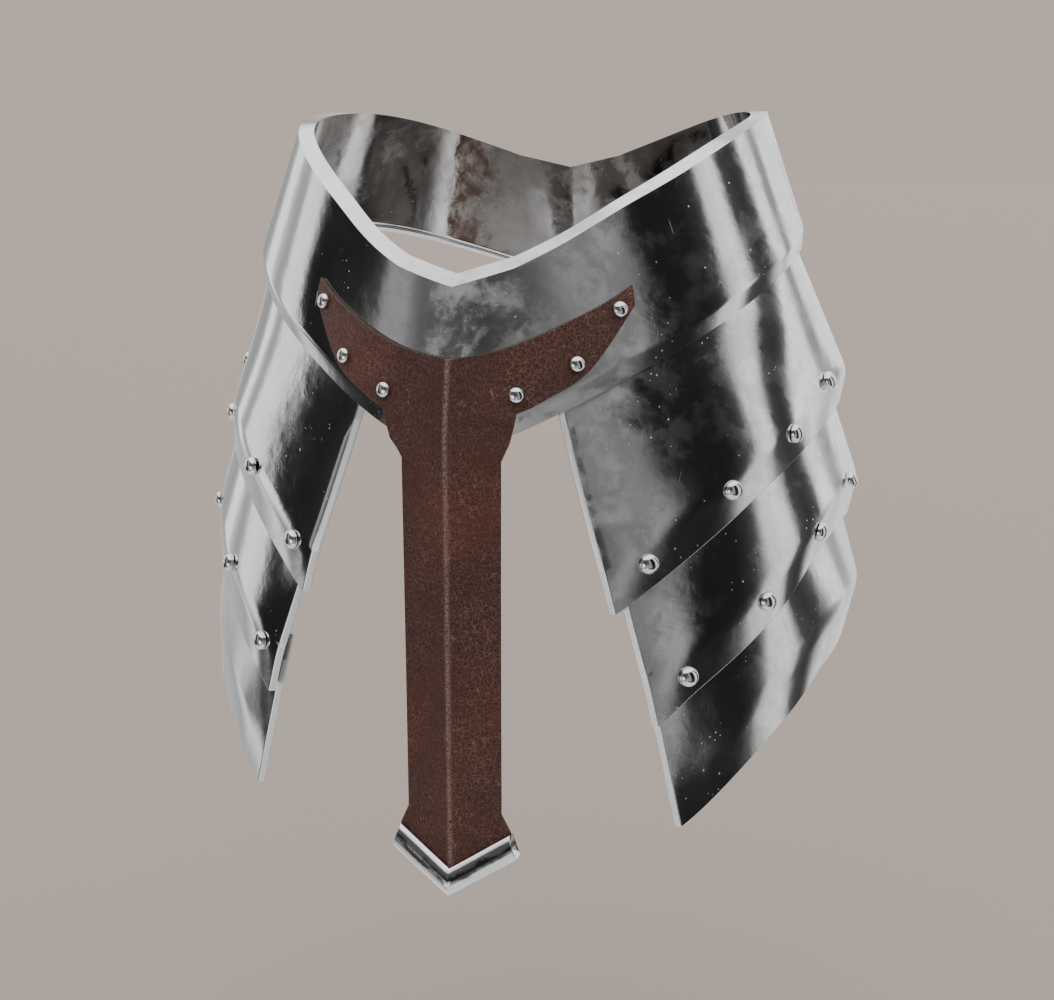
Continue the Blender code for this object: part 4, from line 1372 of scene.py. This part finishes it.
# %% The ring's strips
# Brightness of the ring at a plan angle, above and below the horizon.
Strip = namedtuple("Strip", "angle high low")
STRIPS = [
    Strip(-180, 1.4, 1.1),
    Strip(-140, 0.45, 0.6),
    Strip(-127, 0.42, 0.65),
    Strip(-122, 0.6, 0.6),
    Strip(-118, 1.55, 0.6),
    Strip(-112, 1.6, 0.5),
    Strip(-108, 0.8, 0.7),
    Strip(-103, 0.45, 1.1),
    Strip(-100, 0.6, 0.9),
    Strip(-97, 1.3, 0.3),
    Strip(-94, 1.4, 0.06),
    Strip(-87, 1.2, 0.035),
    Strip(-84, 0.08, 0.03),
    Strip(-81, 0.022, 0.035),
    Strip(-76, 0.02, 0.03),
    Strip(-70, 0.03, 0.04),
    Strip(-66, 0.08, 0.08),
    Strip(-62, 0.38, 0.16),
    Strip(-56, 0.4, 0.22),
    Strip(-50, 0.26, 0.28),
    Strip(-42, 0.16, 0.34),
    Strip(-33, 0.13, 0.46),
    Strip(-18, 0.105, 0.32),
    Strip(-4, 0.082, 0.35),
    Strip(6, 0.07, 0.35),
    Strip(16, 0.10, 0.35),
    Strip(28, 0.125, 0.38),
    Strip(36, 0.22, 0.42),
    Strip(40, 0.42, 0.38),
    Strip(45, 0.44, 0.34),
    Strip(49, 0.24, 0.22),
    Strip(51.5, 0.04, 0.08),
    Strip(56, 0.016, 0.028),
    Strip(68, 0.02, 0.022),
    Strip(74, 0.045, 0.05),
    Strip(78, 0.1, 0.2),
    Strip(80, 0.3, 0.7),
    Strip(83, 0.95, 0.95),
    Strip(93, 1.3, 1.15),
    Strip(99, 1.15, 0.6),
    Strip(101.5, 0.5, 0.2),
    Strip(104, 0.08, 0.1),
    Strip(113, 0.05, 0.06),
    Strip(118, 0.08, 0.07),
    Strip(121, 0.2, 0.12),
    Strip(124, 1.4, 0.25),
    Strip(127, 1.6, 0.5),
    Strip(132, 1.4, 1.1),
    Strip(135, 0.45, 1.1),
    Strip(140, 0.4, 0.95),
    Strip(144, 1.5, 1.1),
    Strip(180, 1.4, 1.1),
]

# %% The ring further down
# What the ring shows below DEEP_FADE, where the inside of the band looks, and the floor below that.
Deep = namedtuple("Deep", "angle deep")
DEEPS = [
    Deep(-180, 0.90),
    Deep(-120, 0.70),
    Deep(-60, 0.60),
    Deep(-50, 0.15),
    Deep(-38, 0.18),
    Deep(-30, 0.60),
    Deep(-16, 0.70),
    Deep(-6, 0.40),
    Deep(2, 0.20),
    Deep(10, 0.22),
    Deep(15, 0.80),
    Deep(27, 1.10),
    Deep(33, 0.30),
    Deep(38, 0.10),
    Deep(44, 0.32),
    Deep(50, 0.16),
    Deep(56, 0.06),
    Deep(66, 0.045),
    Deep(72, 0.07),
    Deep(92, 0.06),
    Deep(97, 1.00),
    Deep(112, 1.50),
    Deep(117, 0.15),
    Deep(140, 0.10),
    Deep(150, 0.80),
    Deep(180, 0.90),
]
DEEP_FADE = (-26.0, -31.0)
FLOOR_CARD = 1.0               # brightness of the floor
FLOOR_FADE = (-37.5, -45.0)

# %% Read the ring


def ring_curve(tree, turn, table, column):
    """A curve node that reads a column of a table of the ring at a turn from 0 to 1."""
    made = tree.nodes.new("ShaderNodeFloatCurve")
    tree.links.new(turn, made.inputs["Value"])
    curve = made.mapping.curves[0]
    for i, row in enumerate(table):
        spot = ((row.angle + 180) / 360, getattr(row, column) / FULL_LIGHT)
        if i < 2:
            curve.points[i].location = spot
        else:
            curve.points.new(*spot)
    for point in curve.points:
        point.handle_type = "VECTOR"
    made.mapping.update()
    return made.outputs[0]


def leaned(tree, height, level, amount, limits):
    """Degrees by which the ring leans at a height."""
    lean = maths(tree, "MULTIPLY", maths(tree, "SUBTRACT", height, level), amount)
    return maths(tree, "MINIMUM", maths(tree, "MAXIMUM", lean, limits[0]), limits[1])


def ring_turn(tree, level, height):
    """Place in the ring's table, from 0 to 1, of a direction looked along."""
    slant = ramp(tree, level, BACK_FROM, BACK_TO, LEAN, LEAN + BACK_LEAN)
    left = leaned(tree, height, LEAN_LEVEL, slant, LEAN_LIMITS)
    left = maths(tree, "MULTIPLY", left, ramp(tree, level, 0.0, FRONT_EASE))
    right = leaned(tree, height, RIGHT_LEVEL, RIGHT_LEAN, RIGHT_LIMITS)
    right = maths(tree, "MULTIPLY", right, ramp(tree, level, 0.0, -FRONT_EASE))
    angle = maths(tree, "ADD", maths(tree, "ADD", level, left), right)
    return maths(tree, "MULTIPLY_ADD", angle, 1 / 360, 0.5)


def ring_brightness(tree, level, height):
    """Brightness of the ring, the floor, the softbox and the card in a direction, up to 1."""
    turn = ring_turn(tree, level, height)
    high, low = ring_curve(tree, turn, STRIPS, "high"), ring_curve(tree, turn, STRIPS, "low")
    deep = ring_curve(tree, maths(tree, "MULTIPLY_ADD", level, 1 / 360, 0.5), DEEPS, "deep")
    over = ramp(tree, height, *HORIZON)
    ring = maths(tree, "ADD", maths(tree, "MULTIPLY", high, over),
                 maths(tree, "MULTIPLY", low, without(tree, over)))
    ring = node(tree, "Mix", ramp(tree, height, *DEEP_FADE), None, ring, deep)
    ring = node(tree, "Mix", ramp(tree, height, *FLOOR_FADE), None, ring, FLOOR_CARD / FULL_LIGHT)
    ring = maths(tree, "MAXIMUM", ring, ramp(tree, height, *SOFTBOX))
    card = maths(tree, "MULTIPLY", ramp(tree, level, *CARD_LEFT), ramp(tree, level, *CARD_RIGHT))
    card = maths(tree, "MULTIPLY", card, ramp(tree, height, *CARD_LOW))
    card = maths(tree, "MULTIPLY", card, ramp(tree, height, *CARD_TOP))
    return maths(tree, "MAXIMUM", ring, card)

# %% Make the studio


def make_studio():
    world = bpy.data.worlds.new("studio")
    bpy.context.scene.world = world
    world.use_nodes = True
    tree = world.node_tree
    light = tree.nodes["Background"]
    # The world's Generated coordinates are the direction looked along.
    look = tree.nodes.new("ShaderNodeTexCoord").outputs["Generated"]
    x, y, z = node(tree, "SeparateXYZ", look).node.outputs
    level = maths(tree, "ARCTAN2", x, maths(tree, "MULTIPLY", y, -1.0))
    level = maths(tree, "MULTIPLY", level, 180 / math.pi)
    height = maths(tree, "MULTIPLY", maths(tree, "ARCSINE", z), 180 / math.pi)
    ring = ring_brightness(tree, level, height)
    tree.links.new(maths(tree, "MULTIPLY", ring, FULL_LIGHT), light.inputs["Strength"])
    light.inputs["Color"].default_value = (1.0, 1.0, 1.0, 1)
    # The camera itself sees a plain pale backdrop instead of the lights.
    plain = tree.nodes.new("ShaderNodeBackground")
    plain.inputs["Color"].default_value = BACKDROP
    chooser = tree.nodes.new("ShaderNodeMixShader")
    tree.links.new(tree.nodes.new("ShaderNodeLightPath").outputs["Is Camera Ray"], chooser.inputs[0])
    tree.links.new(light.outputs[0], chooser.inputs[1])
    tree.links.new(plain.outputs[0], chooser.inputs[2])
    tree.links.new(chooser.outputs[0], tree.nodes["World Output"].inputs["Surface"])
    return world


world = make_studio()
print("studio:", len(world.node_tree.nodes), "nodes")

# %% [markdown]
# ## Floor and camera
# The armour is shown as if it were worn, so it hangs in the air above a plain pale floor. The floor
# is hidden from reflections, because the ring of lights already holds the floor's own glow. The
# camera looks a little down on the armour's left front.

# %% Floor and camera
FLOOR_LEVEL = -0.75
FLOOR_REACH = 30.0             # metres from the middle to the floor's sides
FLOOR_COLOUR = (0.42, 0.345, 0.30, 1)
FLOOR_GLOSS = 0.9


def make_floor():
    mesh = bpy.data.meshes.new("floor")
    corners = [(-1, -1), (1, -1), (1, 1), (-1, 1)]
    points = [(x * FLOOR_REACH, y * FLOOR_REACH, FLOOR_LEVEL) for x, y in corners]
    mesh.from_pydata(points, [], [(0, 1, 2, 3)])
    floor = bpy.data.objects.new("floor", mesh)
    bpy.context.scene.collection.objects.link(floor)
    material, tree, shader = new_material("pale floor")
    shader.inputs["Base Color"].default_value = FLOOR_COLOUR
    shader.inputs["Roughness"].default_value = FLOOR_GLOSS
    mesh.materials.append(material)
    floor.visible_glossy = False
    return floor


floor = make_floor()
print("floor:", FLOOR_LEVEL, "metres")

# %% Camera
CAMERA_PLACE = (0.35888584, -1.25227708, 0.09978935)
CAMERA_AZIMUTH = 15.685        # degrees that the camera stands to the wearer's left
CAMERA_ELEVATION = 12.119      # degrees that it looks down
SENSOR = 36.0                  # sensor's width in millimetres
LENS = 1700 * SENSOR / 1054    # focal length in millimetres


def make_camera():
    data = bpy.data.cameras.new("camera")
    data.sensor_width = SENSOR
    data.lens = LENS
    camera = bpy.data.objects.new("camera", data)
    bpy.context.scene.collection.objects.link(camera)
    a, e = math.radians(CAMERA_AZIMUTH), math.radians(CAMERA_ELEVATION)
    back = Vector((math.sin(a) * math.cos(e), -math.cos(a) * math.cos(e), math.sin(e)))
    camera.location = CAMERA_PLACE
    camera.rotation_mode = "QUATERNION"
    camera.rotation_quaternion = (-back).to_track_quat("-Z", "Y")
    return camera


bpy.context.scene.camera = make_camera()
print("lens:", round(LENS, 2), "millimetres")
